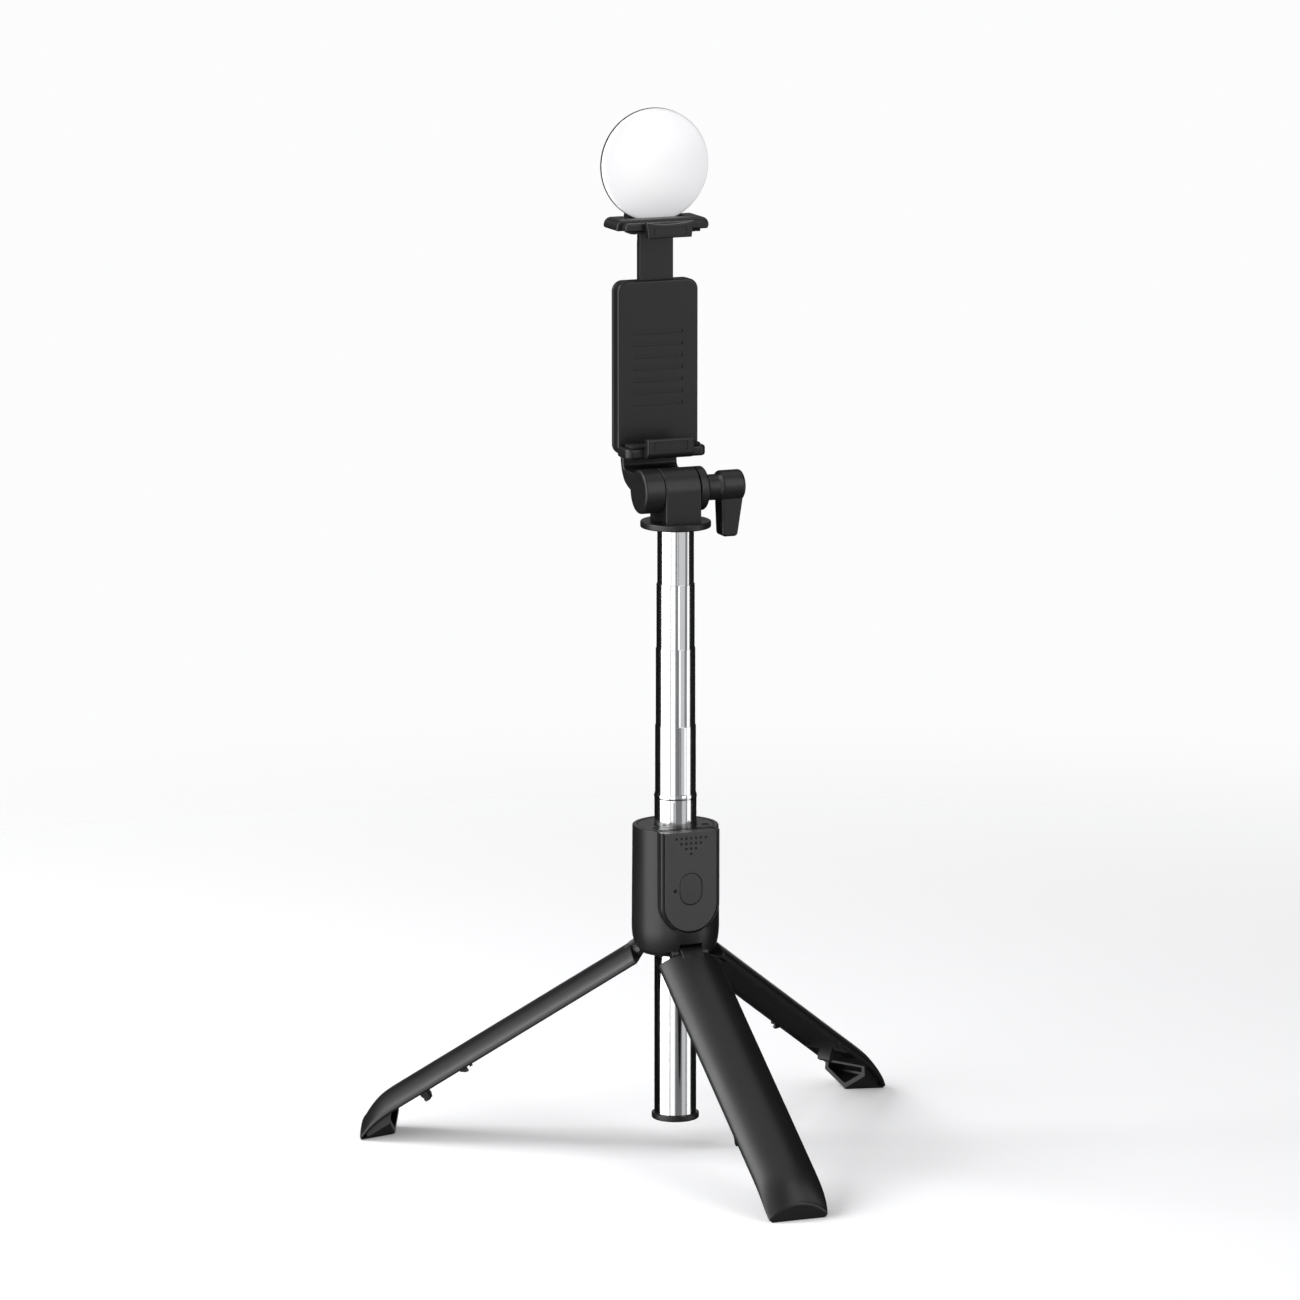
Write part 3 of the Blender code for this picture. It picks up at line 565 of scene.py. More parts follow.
def spoke(azimuth):
    """The stand's frame turned so that +X points along a leg."""
    return STAND @ Matrix.Rotation(math.radians(azimuth), 4, "Z")


# %% [markdown]
# The hub is turned first: its foot narrows a little, so that it leaves the mould, and ends in a
# rounded edge. The U is joined on as a slab, then the bore, the remote's bay, the notches and the
# pin holes are cut.

# %% Hub moulding
def hub_moulding():
    foot = HUB_WAIST - HUB_DRAFT
    profile = arc((foot - 0.966 * HUB_EDGE, HUB_BOTTOM + HUB_EDGE), HUB_EDGE, -90, -15, 8)
    lift = HUB_BOTTOM + 0.741 * HUB_EDGE
    profile += [(foot + HUB_DRAFT * (1 - (1 - t / 6) ** 2), lift + 6.9 * t / 6) for t in range(1, 7)]
    profile += arc((HUB_RADIUS - 0.35, HUB_TOP - 0.35), 0.35, 0, 90, 4)
    profile += [(12.9, HUB_TOP), (12.9, plate_low.z - 0.2), (12.7, plate_low.z - 0.2), (12.7, 75.0)]
    profile += [(10.0, 75.0), (10.0, plate_low.z - 0.2), (HUB_BORE - 0.2, plate_low.z - 0.2)]
    profile += [(HUB_BORE - 0.2, 76.3), (7.7, 76.3), (7.7, HUB_BOTTOM + 0.4), (8.1, HUB_BOTTOM)]
    shell = turned(profile, "Z", (0, 0), 144)
    half = REMOTE_HALF + 1.3
    boss = slab(u_outline(half, HUB_TOP - 0.06), "Y", -13.7, -HUB_BORE + 0.37, 0.9, steps=6)
    fuse(shell, boss)
    for x, y in SCREW_PLACES:
        fuse(shell, puck(1.9, "Z", (x, y), 74.0, 108.7, 0.1, 24))
    carve(shell, prism(circle((0, 0), HUB_BORE, 96), "Z", 75.5, 112.0))
    carve(shell, prism(u_outline(REMOTE_HALF + 0.26, 114.0), "Y", -20.0, back_high.y + 0.3))
    for azimuth in LEG_AZIMUTHS:
        ear = puck(1.55, "Y", (HINGE_RADIUS, HINGE_Z), -6.6, 6.6, 0.3, 32, spoke(azimuth))
        fuse(shell, ear)
        notch = box_outline(-NOTCH_HALF, 60.0, NOTCH_HALF, NOTCH_TOP)
        carve(shell, prism(notch, "X", 9.3, 20.0, spoke(azimuth)))
        hole = prism(circle((HINGE_RADIUS, HINGE_Z), PIN_BORE, 24), "Y", -8.0, 8.0, spoke(azimuth))
        carve(shell, hole)
    return shell


present(hub_moulding(), "hub_moulding", "hub", ["hub_shell"], black_plastic)

# %% [markdown]
# The cover closes the hub's top round the pole. It is held by two small countersunk screws, whose
# cross recess is cut as two crossed slots.

# %% Hub cover and its screws
def hub_cover():
    low, high = plate_low.z, plate_high.z
    profile = [(7.2, low), (12.75, low), (12.75, high - 0.15), (12.6, high)]
    profile += [(7.35, high), (7.2, high - 0.15)]
    cover = turned(profile, "Z", (0, 0), 128)
    carve(cover, prism(box_outline(-10.9, -20.0, 10.9, -8.0), "Z", 100.0, 120.0))
    for x, y in SCREW_PLACES:
        carve(cover, prism(circle((x, y), 1.25, 32), "Z", 100.0, 120.0))
    return cover


def cover_screw(x, y):
    profile = [(0.0, 104.0), (0.7, 104.0), (0.7, 109.2), (1.15, 109.2)]
    profile += arc((1.0, 110.15), 0.15, 0, 90, 3) + [(0.0, 110.3)]
    head = turned(profile, "Z", (x, y), 32)
    for across, along in ((0.75, 0.15), (0.15, 0.75)):
        slot = box_outline(x - across, y - along, x + across, y + along)
        carve(head, prism(slot, "Z", 109.85, 111.0))
    return head


present(hub_cover(), "hub_cover", "hub", ["hub_top_plate"], black_plastic)
for (x, y), side in zip(SCREW_PLACES, ("left", "right")):
    node = f"hub_screw_{side}"
    present(cover_screw(x, y), f"cover_screw_{side}", "hub", [node], dark_steel)

# %% [markdown]
# ## The remote
# The remote is a flat U with an oval key, a pin-sized indicator window and a triangle of sixteen
# dimples under the thumb. The dimples are real dents: sixteen small rods cut at once.

# %% Remote
DIMPLE_PITCH = 1.75
DIMPLE_ROWS = (7, 5, 3, 1)


def stadium(half_width, half_height, centre, steps=16):
    rise = half_height - half_width
    top = arc((centre[0], centre[1] + rise), half_width, 0, 180, steps)
    return top + arc((centre[0], centre[1] - rise), half_width, 180, 360, steps)


BUTTON = (0.0, (button_low.z + button_high.z) / 2)
BUTTON_HALF = button_high.x
BUTTON_TALL = (button_high.z - button_low.z) / 2
INDICATOR = (-5.7, BUTTON[1] - 0.3)
REMOTE_WALL = 0.8
REMOTE_POCKET = u_outline(REMOTE_HALF - REMOTE_WALL, REMOTE_TOP - REMOTE_WALL)


def remote_face():
    front, split = remote_low.y, remote_high.y
    face = slab(u_outline(REMOTE_HALF, REMOTE_TOP), "Y", front, split, 0.3)
    carve(face, prism(REMOTE_POCKET, "Y", front + REMOTE_WALL, split + 1.0))
    carve(face, prism(stadium(BUTTON_HALF + 0.24, BUTTON_TALL + 0.24, BUTTON), "Y", -16.0, -12.0))
    carve(face, prism(circle(INDICATOR, 0.64, 24), "Y", -16.0, -12.0))
    dents = []
    for row, count in enumerate(DIMPLE_ROWS):
        for column in range(count):
            x = (column - (count - 1) / 2) * DIMPLE_PITCH
            z = REMOTE_TOP - 2.1 - row * DIMPLE_PITCH
            dents.append(prism(circle((x, z), 0.42, 16), "Y", front - 1.0, front + 0.64))
    return carve(face, gather(dents))


def shutter_key():
    key = slab(stadium(BUTTON_HALF, BUTTON_TALL, BUTTON), "Y", button_low.y, button_high.y, 0.22)
    low = button_low.y - 0.035
    ring = [(1.75, low + 0.02), (1.8, low), (2.0, low), (2.05, low + 0.02)]
    ring += [(2.05, low + 0.5), (1.75, low + 0.5)]
    return fuse(key, turned(ring, "Y", BUTTON, 48))


present(remote_face(), "remote_face", "remote", ["remote_front_shell"], remote_plastic)
remote_back = slab(u_outline(REMOTE_HALF, REMOTE_TOP), "Y", back_low.y, back_high.y, 0.3)
carve(remote_back, prism(REMOTE_POCKET, "Y", -12.5, back_high.y - 0.6))
present(remote_back, "remote_back", "remote", ["remote_rear_shell"], remote_plastic)
present(shutter_key(), "shutter_key", "shutter_button", ["shutter_button"], key_plastic)
lens = puck(0.55, "Y", INDICATOR, -13.4, -12.6, 0.2, 20)
present(lens, "indicator_lens", "remote", ["remote_led_window"], amber)

# %% [markdown]
# ## The pole
# Five steel tubes slide in each other. A keyway pressed into the front of the four inner ones keeps
# them from turning, and shows as a line down the chrome. Each tube's mouth is rolled slightly
# inwards. The outermost, plain tube has a rolled bead, and its weld seam shows as a thin line.

# %% Keyed tubes
KEY_DEPTH = 0.45
KEY_SLOPE = 0.78
WALL = 0.15


def keyed(radius, key_half, depth, steps=120):
    """A circle with a shallow keyway in its front, whose walls slope in to a flat floor."""
    if key_half == 0.0:
        return circle((0, 0), radius, steps + 6)
    edge = math.degrees(math.asin(key_half / radius))
    brow = -math.sqrt(radius**2 - key_half**2)
    floor = -(radius - depth)
    half = key_half - KEY_SLOPE
    right = [(half, floor), (half + 0.06, floor - 0.02), (key_half - 0.08, brow + 0.03)]
    left = [(-u, v) for u, v in reversed(right)]
    return arc((0, 0), radius, -90 + edge, 270 - edge, steps) + left + [(0.0, floor)] + right


def keyed_tube(radius, key_half, depth, low, high, swell=()):
    """swell holds (height, growth in radius) pairs for a rolled bead."""
    bore_radius, bore_key = radius - WALL, (key_half + WALL if key_half else 0.0)
    outside = [(low, -0.04), (low + 0.06, 0.0)] + list(swell)
    outside += [(high - 0.12, 0.0), (high - 0.03, -0.03), (high, -0.07)]
    rings = []
    for z, grow in outside:
        rings.append([(x, y, z) for x, y in keyed(radius + grow, key_half, depth + grow)])
    inner = keyed(bore_radius, bore_key, depth)
    rings += [[(x, y, z) for x, y in inner] for z in (high, low)]
    return solid("tube", rings, closed=True)


outer_low, outer_high = span("outer_tube")
OUTER_RADIUS = 7.1
BEAD_Z = outer_high.z - 0.9
BEAD = []
for degrees in range(-90, 91, 15):
    turn = math.radians(degrees)
    BEAD.append((BEAD_Z + 0.7 * math.sin(turn), 0.06 + 0.06 * math.cos(2 * turn)))
outer = keyed_tube(OUTER_RADIUS, 0.0, 0.0, outer_low.z, outer_high.z, BEAD)
SEAM_HALF = 0.17
SEAM_LOW = HUB_TOP - 14.0
SEAM_HIGH = BEAD_Z - 1.2
seam = STAND @ Matrix.Rotation(math.radians(-116.0), 4, "Z")
slit = box_outline(-SEAM_HALF, SEAM_LOW, SEAM_HALF, SEAM_HIGH)
carve(outer, prism(slit, "X", 6.0, 8.0, seam))
present(outer, "outer_tube_plated", "pole", ["outer_tube"], chrome, 30.0)
strip = box_outline(-SEAM_HALF + 0.004, SEAM_LOW + 0.01, SEAM_HALF - 0.004, SEAM_HIGH - 0.01)
weld = prism(strip, "X", 6.955, 7.03, seam)
present(weld, "weld_line", "pole", [], dark_steel)
for index, number in enumerate(("4", "3", "2", "1")):
    node = f"stage_{number}_tube"
    low, high = span(node)
    tube = keyed_tube(high.x, 1.2 + 0.225 * index, KEY_DEPTH, low.z, high.z)
    present(tube, f"stage_{number}_plated", f"stage_{number}", [node], chrome, 30.0)

# %% [markdown]
# A plastic cap closes the pole's lower end. One turned outline gives its foot and its collar.

# %% Pole end cap
cap_low, cap_high = span("pole_end_cap")
profile = [(0.0, cap_low.z + 0.25), (6.2, cap_low.z + 0.25), (6.5, cap_low.z)]
profile += arc((7.55, cap_low.z + 0.45), 0.45, -90, 0, 5) + arc((7.7, cap_low.z + 1.7), 0.3, 0, 90, 4)
profile += [(6.85, cap_low.z + 2.0), (6.85, cap_high.z), (0.0, cap_high.z)]
present(turned(profile, "Z", (0, 0)), "end_cap", "pole", ["pole_end_cap"], black_plastic)

# %% [markdown]
# ## The legs
# Folded, the three legs make a tube round the pole, so each is a third of a ring in section: a
# crown of one radius, short straight flanks, open underneath. The nose curls down to the foot. It
# is built ring by ring along the leg, because its section changes all the way through the nose:
# the crown sinks along an ellipse and the plan narrows with it.

# %% Leg sizes
LEG_CROWN = 14.6
LEG_HALF_ANGLE = 49.0
LEG_EDGE = 8.4 - HINGE_RADIUS
LEG_START = 1.85
LEG_NOSE = 97.5
LEG_END = 116.1
KNUCKLE = 2.55
LEG_SPREAD = -math.radians(joints["leg_1_fold"]["range_deg"][0])
print("legs open to", round(math.degrees(LEG_SPREAD), 1), "degrees from the pole")


def leg_place(number):
    """x along the open leg, y across it, z away from the pole, from the hinge, in millimetres."""
    at = Vector(joints[f"leg_{number}_fold"]["pos_m"])
    outward = Vector((at.x - POLE.x, at.y - POLE.y, 0.0)).normalized()
    along = outward * math.sin(LEG_SPREAD) - Vector((0, 0, 1)) * math.cos(LEG_SPREAD)
    rise = outward * math.cos(LEG_SPREAD) + Vector((0, 0, 1)) * math.sin(LEG_SPREAD)
    across = rise.cross(along)
    turn = Matrix((along, across, rise)).transposed().to_4x4()
    return Matrix.Translation(at) @ turn @ Matrix.Scale(MM, 4)


def floor_height(along):
    return (along * math.cos(LEG_SPREAD) - HINGE_Z) / math.sin(LEG_SPREAD)


# %% [markdown]
# A leg is moulded as an open channel. The outside is a stack of sections, the pocket under it is
# cut with a smaller section, and the knuckle that turns on the pin is joined on last.

# %% Leg moulding
def crown_section(radius, half_angle, bottom, rim=0.45):
    """Crown arc with rounded shoulders and flanks, from one lower edge to the other."""
    side = radius * math.sin(math.radians(half_angle))
    shoulder = radius * math.cos(math.radians(half_angle)) - HINGE_RADIUS
    blend = 3.2
    crown = arc((0, -HINGE_RADIUS), radius, 90 - half_angle + blend, 90 + half_angle - blend, 36)
    right = [(side, bottom + rim), (side, shoulder - 0.45), (side - 0.1, shoulder + 0.05)]
    foot = [(side - rim, bottom), (side - 0.12, bottom + 0.13)]
    left = [(-u, v) for u, v in reversed(right)]
    heel = [(-u, v) for u, v in reversed(foot)]
    return foot + right + crown + left + heel


def nose_rings():
    """(place along, lean, width, height, drop) of each ring; the last ones roll over the lip."""
    rings = [(LEG_START, 0.0, 0.985, 0.93, 0.0), (LEG_START + 0.12, 0.0, 0.993, 0.97, 0.0)]
    rings += [(LEG_START + 0.4, 0.0, 1.0, 1.0, 0.0)]
    rings += [(4.0 + 6.0 * i, 0.0, 1.0, 1.0, 0.0) for i in range(16)]
    lip = LEG_END - 0.9
    for i in range(1, 19):
        f = i / 18
        along = LEG_NOSE + f * (lip - LEG_NOSE)
        lean = 0.75 * f * f * (3 - 2 * f)
        rings.append((along, lean, 1.0 - 0.055 * f**7, 1.0 - 0.2 * f**2.4, 2.3 * f**3))
    for angle in range(12, 91, 13):
        sweep = math.radians(angle)
        shrink = 0.13 * (1.0 - math.cos(sweep))
        rings.append((lip + 0.9 * math.sin(sweep), 0.75, 0.945 - 0.6 * shrink, 0.8 - shrink, 2.3))
    return rings


def leg_moulding(place):
    section = crown_section(LEG_CROWN, LEG_HALF_ANGLE, LEG_EDGE)
    slope = 1.0 / math.tan(LEG_SPREAD)
    rings = []
    for along, lean, wide, high, drop in nose_rings():
        lifts = [(u * wide, (v - LEG_EDGE) * high) for u, v in section]
        rings.append([(along - lean * slope * lift, u, LEG_EDGE - drop + lift) for u, lift in lifts])
    shell = solid("leg", rings, place=place)
    hollow = crown_section(LEG_CROWN - 1.5, 46.6, -8.0, 0.1)
    for low, high in ((4.2, 90.0), (91.2, 97.5)):
        carve(shell, slab(hollow, "X", low, high, 0.3, place, 2))
    knuckle = arc((0, 0), KNUCKLE, 90, 270, 32) + [(3.0, -KNUCKLE), (6.0, -2.3), (14.0, -2.3)]
    knuckle += [(14.0, 0.9), (6.0, 2.0), (3.0, KNUCKLE)]
    fuse(shell, slab(knuckle, "Y", -3.8, 3.8, 0.3, place, 3))
    carve(shell, prism(circle((0, 0), PIN_BORE, 24), "Y", -5.0, 5.0, place))
    return shell


# %% [markdown]
# Under the end of each leg is the foot: a wedge of a third of a circle, so that the three feet
# close up when folded, cut flat where it meets the floor. Ahead of it stand a latch hook on a cross
# rib and small teeth on the flanks. The hollow wedge is the leg's plastic; only its sole is rubber.

# %% Feet, hooks and teeth
SOLE = 1.1
SOLE_GAP = 0.05
FOOT_WALL = 1.3


def wedge(place, half, top, side, wall=0.0):
    """The third-of-a-circle block within a side outline; wall shrinks it for a hollow."""
    apex = 0.35 - HINGE_RADIUS
    corner = apex + half / math.tan(math.radians(60.0))
    section = [(0, apex + 0.2), (half, corner), (half - 0.3, top), (-half + 0.3, top), (-half, corner)]
    block = prism(inset(section, wall), "X", 97.0, 119.0, place)
    return keep(block, prism(side, "Y", -12.0, 12.0, place))


def foot_block(place):
    lift = SOLE / math.sin(LEG_SPREAD)
    side = [(102.0, 0.0), (102.8, -3.8), (107.6, -11.6), (107.9, floor_height(107.9) + lift)]
    side += [(113.8, floor_height(113.8) + lift), (113.8, -4.2), (111.5, -2.0), (108.0, 0.0)]
    block = wedge(place, 8.6, LEG_EDGE + 0.6, side)
    hollow = [(98.5, 0.0), (107.0, 0.0), (109.4, -5.0), (107.1, -9.7), (98.5, -9.7)]
    return carve(block, wedge(place, 8.6, LEG_EDGE + 0.6, hollow, FOOT_WALL))


def foot_sole(place):
    step = (SOLE - SOLE_GAP) / math.sin(LEG_SPREAD)
    end = floor_height(LEG_END)
    side = [(107.9, floor_height(107.9)), (LEG_END, end), (LEG_END, end + 0.35)]
    side += [(114.6, floor_height(114.6) + step), (107.9, floor_height(107.9) + step)]
    return wedge(place, 9.9, LEG_EDGE, side)


def add_latches(shell, place):
    long_tooth = [(70.9, -3.0), (70.9, -5.1), (71.9, -5.1), (73.4, -4.1), (74.2, -3.0)]
    short_tooth = [(68.8, -3.0), (68.8, -4.2), (69.8, -4.2), (69.8, -3.0)]
    ramp_tooth = [(79.0, -3.0), (82.0, -5.0), (83.2, -4.8), (83.2, -3.0)]
    teeth = ((long_tooth, 9.9, 10.9), (short_tooth, 9.9, 10.9), (ramp_tooth, -10.9, -9.9))
    for tooth, low, high in teeth:
        fuse(shell, slab(tooth, "Y", low, high, 0.15, place, 2))
    hook = [(89.6, -3.0), (89.6, -6.2), (90.1, -7.6), (91.6, -7.6), (92.0, -6.9)]
    hook += [(91.7, -6.3), (92.2, -5.4), (92.2, -3.0)]
    fuse(shell, slab(hook, "Y", -2.6, 2.6, 0.15, place, 2))
    return shell


for number in (1, 2, 3):
    place = leg_place(number)
    leg = add_latches(leg_moulding(place), place)
    fuse(leg, foot_block(place))
    body, node = f"leg_{number}", f"leg_shell_{number}"
    present(leg, f"leg_moulding_{number}", body, [node], black_plastic)
    sole = foot_sole(place)
    present(sole, f"foot_sole_{number}", body, [f"foot_pad_{number}"], rubber)

# %% [markdown]
# ## The head
# A flange sits on the top tube and carries a block with a round top. Two ears straddle the block
# and turn with the clamp; the left one is a deep barrel, the right one a thin disc, and a bolt with
# a wing knob pulls them together.

# %% Head base
TILT_Z = joints["head_tilt"]["pos_m"][2] / MM
base_low, base_high = span("head_base")
FLANGE = base_high.x
FLANGE_TOP = base_low.z + 2.2
BLOCK_HALF = 6.3
BLOCK_ROUND = 7.4
EAR = 7.4


def head_base():
    flange = puck(FLANGE, "Z", (0, 0), base_low.z, FLANGE_TOP, 0.45, 128)
    side = arc((0, TILT_Z), BLOCK_ROUND, 0, 180, 40)
    side += [(-BLOCK_ROUND, FLANGE_TOP - 0.8), (BLOCK_ROUND, FLANGE_TOP - 0.8)]
    fuse(flange, slab(side, "X", -BLOCK_HALF, BLOCK_HALF, 0.45))
    carve(flange, prism(circle((0, TILT_Z), 2.08, 32), "X", -10.0, 10.0))
    return carve(flange, prism(circle((0, 0), 2.1, 32), "Z", 205.0, 217.2))


present(head_base(), "head_block", "head", ["head_base"], black_plastic)

# %% [markdown]
# The bracket runs from the ears, under the clamp and up its back to the turning rivet. One side
# outline gives its bend, a front outline gives its taper, and the ears are turned and joined on.

# %% Tilt bracket
PIVOT_Z = joints["clamp_turn"]["pos_m"][2] / MM
_, arm_high = span("tilt_bracket")
ARM_BACK = arm_high.y
ARM_FRONT = ARM_BACK - 2.7


def tilt_bracket():
    ear = arc((0, TILT_Z), 7.2, 36.0, 310.0, 48)
    belly = [(15.9, -1.9), (17.4, -1.5), (18.8, -0.9), (20.0, -0.3), (20.9, 0.3), (22.0, 1.5), (22.9, 2.9)]
    belly += [(23.6, 4.4), (24.1, 6.1), (24.45, 7.8), (ARM_BACK, 9.5)]
    outline = ear + [(y, TILT_Z + z) for y, z in belly]
    outline += [(ARM_BACK, 275.0), (ARM_FRONT, 275.0), (ARM_FRONT, TILT_Z + 6.0)]
    outline += [(21.65, TILT_Z + 5.1), (21.1, TILT_Z + 4.5), (20.4, TILT_Z + 4.2)]
    bracket = slab(outline, "X", -10.2, 9.5, 0.7)
    carve(bracket, prism(circle((0, PIVOT_Z), 4.03, 44), "Y", 15.3, 30.0))
    front = [(-11, 200), (11, 200), (11, TILT_Z + 9), (8.9, TILT_Z + 13)]
    front += arc((0, PIVOT_Z), 8.5, 0, 180, 40) + [(-8.9, TILT_Z + 13), (-11, TILT_Z + 9)]
    keep(bracket, prism(front, "Y", -20.0, 40.0))
    carve(bracket, prism(box_outline(-20.0, 200.0, 10.5, 260.0), "X", -6.6, 6.6))
    carve(bracket, prism(circle((0, TILT_Z), 2.4, 36), "X", -12.0, 12.0))
    barrel = [(0.0, -13.5)] + arc((EAR - 0.9, -12.6), 0.9, -90, 0, 6)
    barrel += [(EAR, -6.62), (2.09, -6.62), (2.09, -11.35), (0.0, -11.35)]
    fuse(bracket, turned(barrel, "X", (0, TILT_Z)))
    disc = [(2.09, 6.62), (EAR, 6.62)] + arc((EAR - 0.8, 8.75), 0.8, 0, 90, 6) + [(2.09, 9.55)]
    return fuse(bracket, turned(disc, "X", (0, TILT_Z)))


present(tilt_bracket(), "bracket_moulding", "tilt_head", ["tilt_bracket"], black_plastic)

# %% [markdown]
# The wing knob is a short cylinder that lies across the bolt, with a flat lever hanging from it. The
# lever is thinner than the cylinder, so a soft step shows where they meet.

# %% Wing knob
def wing_knob():
    z = TILT_Z
    head = puck(5.2, "X", (0, z + 0.3), 14.9, 23.4, 1.1, 64)
    lever = [(15.0, z + 2.0), (23.3, z + 2.0), (23.2, z - 3.0)] + arc((19.9, z - 15.2), 1.4, -10, -80, 5)
    lever += arc((17.0, z - 15.2), 1.4, -100, -170, 5) + [(15.2, z - 6.0)]
    fuse(head, slab(lever, "Y", -3.2, 3.2, 0.9))
    neck = [(0.0, 10.5)] + arc((4.05, 10.8), 0.3, -90, 0, 3)
    neck += [(4.35, 14.4), (5.0, 15.1), (5.0, 16.0), (0.0, 16.0)]
    fuse(head, turned(neck, "X", (0, z), 64))
    return carve(head, prism(circle((0, z), 3.08, 32), "X", 9.0, 18.6))


present(wing_knob(), "wing_knob", "knob", ["tilt_knob"], black_plastic)

# %% [markdown]
# ## The clamp
# The lower jaw, the plate behind the phone and the slider's channel are one moulding. Both jaws end
# in a short lip with a thin inset frame on its front, cut here as a shallow groove.

# %% Clamp sizes
body_low, body_high = span("clamp_body")
seat_low, seat_high = span("lower_jaw_pad")
cover_low, cover_high = span("clamp_rear_cover")
_, jaw_high = span("upper_jaw")
top_pad_low, top_pad_high = span("upper_jaw_pad")
CLAMP_HALF = body_high.x
CLAMP_BOTTOM = body_low.z
CLAMP_TOP = body_high.z
PLATE_FRONT = 15.5
PLATE_BACK = body_high.y
LIP_HALF = 8.3
LIP_FRONT = body_low.y
SHELF_TOP = seat_low.z - 0.1
print("clamp plate:", round(CLAMP_TOP - CLAMP_BOTTOM, 1), "mm tall")


def frame_groove(low_u, low_v, high_u, high_v, axis, front):
    """A thin rounded frame, as a cutter for the inset line on a lip."""
    outer_line = rounded_box(low_u, low_v, high_u, high_v, 0.9)
    inner_line = rounded_box(low_u + 0.22, low_v + 0.22, high_u - 0.22, high_v - 0.22, 0.7)
    rings = [[on_axis(axis, front - 1.0, u, v) for u, v in inner_line]]
    rings += [[on_axis(axis, front - 1.0, u, v) for u, v in outer_line]]
    rings += [[on_axis(axis, front + 0.18, u, v) for u, v in outer_line]]
    rings += [[on_axis(axis, front + 0.18, u, v) for u, v in inner_line]]
    return solid("groove", rings, closed=True)


# %% [markdown]
# Four shapes make the clamp: the plate, the shelf, the lip in front and the channel cut behind for
# the slider. The seven shallow grooves on the plate are cut with one gathered tool.

# %% Clamp moulding
def clamp_moulding():
    plate = rounded_box(-CLAMP_HALF, CLAMP_BOTTOM, CLAMP_HALF, CLAMP_TOP, 3.6, 10)
    body = slab(plate, "Y", PLATE_FRONT, PLATE_BACK, 0.7)
    shelf = rounded_box(-CLAMP_HALF + 0.03, 7.5, CLAMP_HALF - 0.03, 17.8, 2.4, 10)
    fuse(body, slab(shelf, "Z", CLAMP_BOTTOM + 0.05, SHELF_TOP, 0.9))
    lip = [(14.0, 233.6), (6.6, 233.6)] + arc((6.2, 235.8), 2.2, 250, 180, 6)
    lip += arc((4.6, 239.8), 0.6, 180, 90, 4)
    lip += arc((6.0, 239.8), 0.6, 90, 0, 4) + [(7.0, SHELF_TOP - 0.1), (14.0, SHELF_TOP - 0.1)]
    fuse(body, slab(lip, "X", -LIP_HALF, LIP_HALF, 0.45))
    carve(body, frame_groove(-6.0, 236.4, 6.0, 239.6, "Y", LIP_FRONT))
    carve(body, prism(box_outline(-10.5, 236.4, 10.5, 295.0), "Y", 16.7, 25.0))
    grooves = []
    for number in range(7):
        z = 250.0 + 4.0 * number
        groove = rounded_box(-9.0, z, 9.0, z + 1.2, 0.5)
        grooves.append(prism(groove, "Y", 14.0, PLATE_FRONT + 0.35))
    return carve(body, gather(grooves))


present(clamp_moulding(), "clamp_moulding", "clamp", ["clamp_body"], black_plastic)
back_outline = rounded_box(-CLAMP_HALF, cover_low.z, CLAMP_HALF, cover_high.z, 3.6, 10)
back_plate = slab(back_outline, "Y", cover_low.y, cover_high.y, 0.45)
carve(back_plate, prism(circle((0, PIVOT_Z), 3.9, 48), "Y", 15.0, 30.0))
present(back_plate, "clamp_back", "clamp", ["clamp_rear_cover"], black_plastic)

# %% [markdown]
# The clamp turns on a rivet, whose dished head shows at the back of the bracket.

# %% Rivet
rivet_low, rivet_high = span("clamp_pivot_rivet")
profile = [(0.0, rivet_low.y), (3.8, rivet_low.y), (3.8, 24.8)] + arc((5.1, 25.2), 0.4, -90, 0, 3)
profile += arc((4.6, 25.2), 0.9, 0, 90, 6)
profile += [(2.6, rivet_high.y), (2.3, rivet_high.y - 0.4), (0.0, rivet_high.y - 0.4)]
rivet = turned(profile, "Y", (0, PIVOT_Z), 64)
present(rivet, "turning_rivet", "clamp", ["clamp_pivot_rivet"], dark_steel)

# %% [markdown]
# The pads are rubber strips with fine cross ribs that grip the phone's edge.

# %% Jaw pads
def ribbed_pad(low, high, rib_side):
    pad = slab(rounded_box(low.x, low.y, high.x, high.y, 1.4), "Z", low.z, high.z, 0.15, steps=2)
    grooves = []
    for i in range(-7, 8):
        x = i * 1.5
        bottom, top = (high.z - 0.22, high.z + 1.0) if rib_side > 0 else (low.z - 1.0, low.z + 0.22)
        grooves.append(prism(box_outline(x - 0.3, low.y - 1.0, x + 0.3, high.y + 1.0), "Z", bottom, top))
    return carve(pad, gather(grooves))


seat_grip = ribbed_pad(seat_low, seat_high, 1)
present(seat_grip, "seat_grip", "clamp", ["lower_jaw_pad"], rubber)
top_grip = ribbed_pad(top_pad_low, top_pad_high, -1)
present(top_grip, "top_grip", "upper_jaw", ["upper_jaw_pad"], rubber)

# %% [markdown]
# The upper jaw is a bar with round ends on a slider. Its lip has a dished top edge, and a pocket
# behind it lets the light's chin swing on its pin.

# %% Upper jaw
JAW_TOP = 313.0
JAW_HALF = jaw_high.x
PIN_Y = (joints["light_flip"]["pos_m"][1] - POLE.y) / MM
PIN_Z = joints["light_flip"]["pos_m"][2] / MM
FLIP_BORE = 0.95


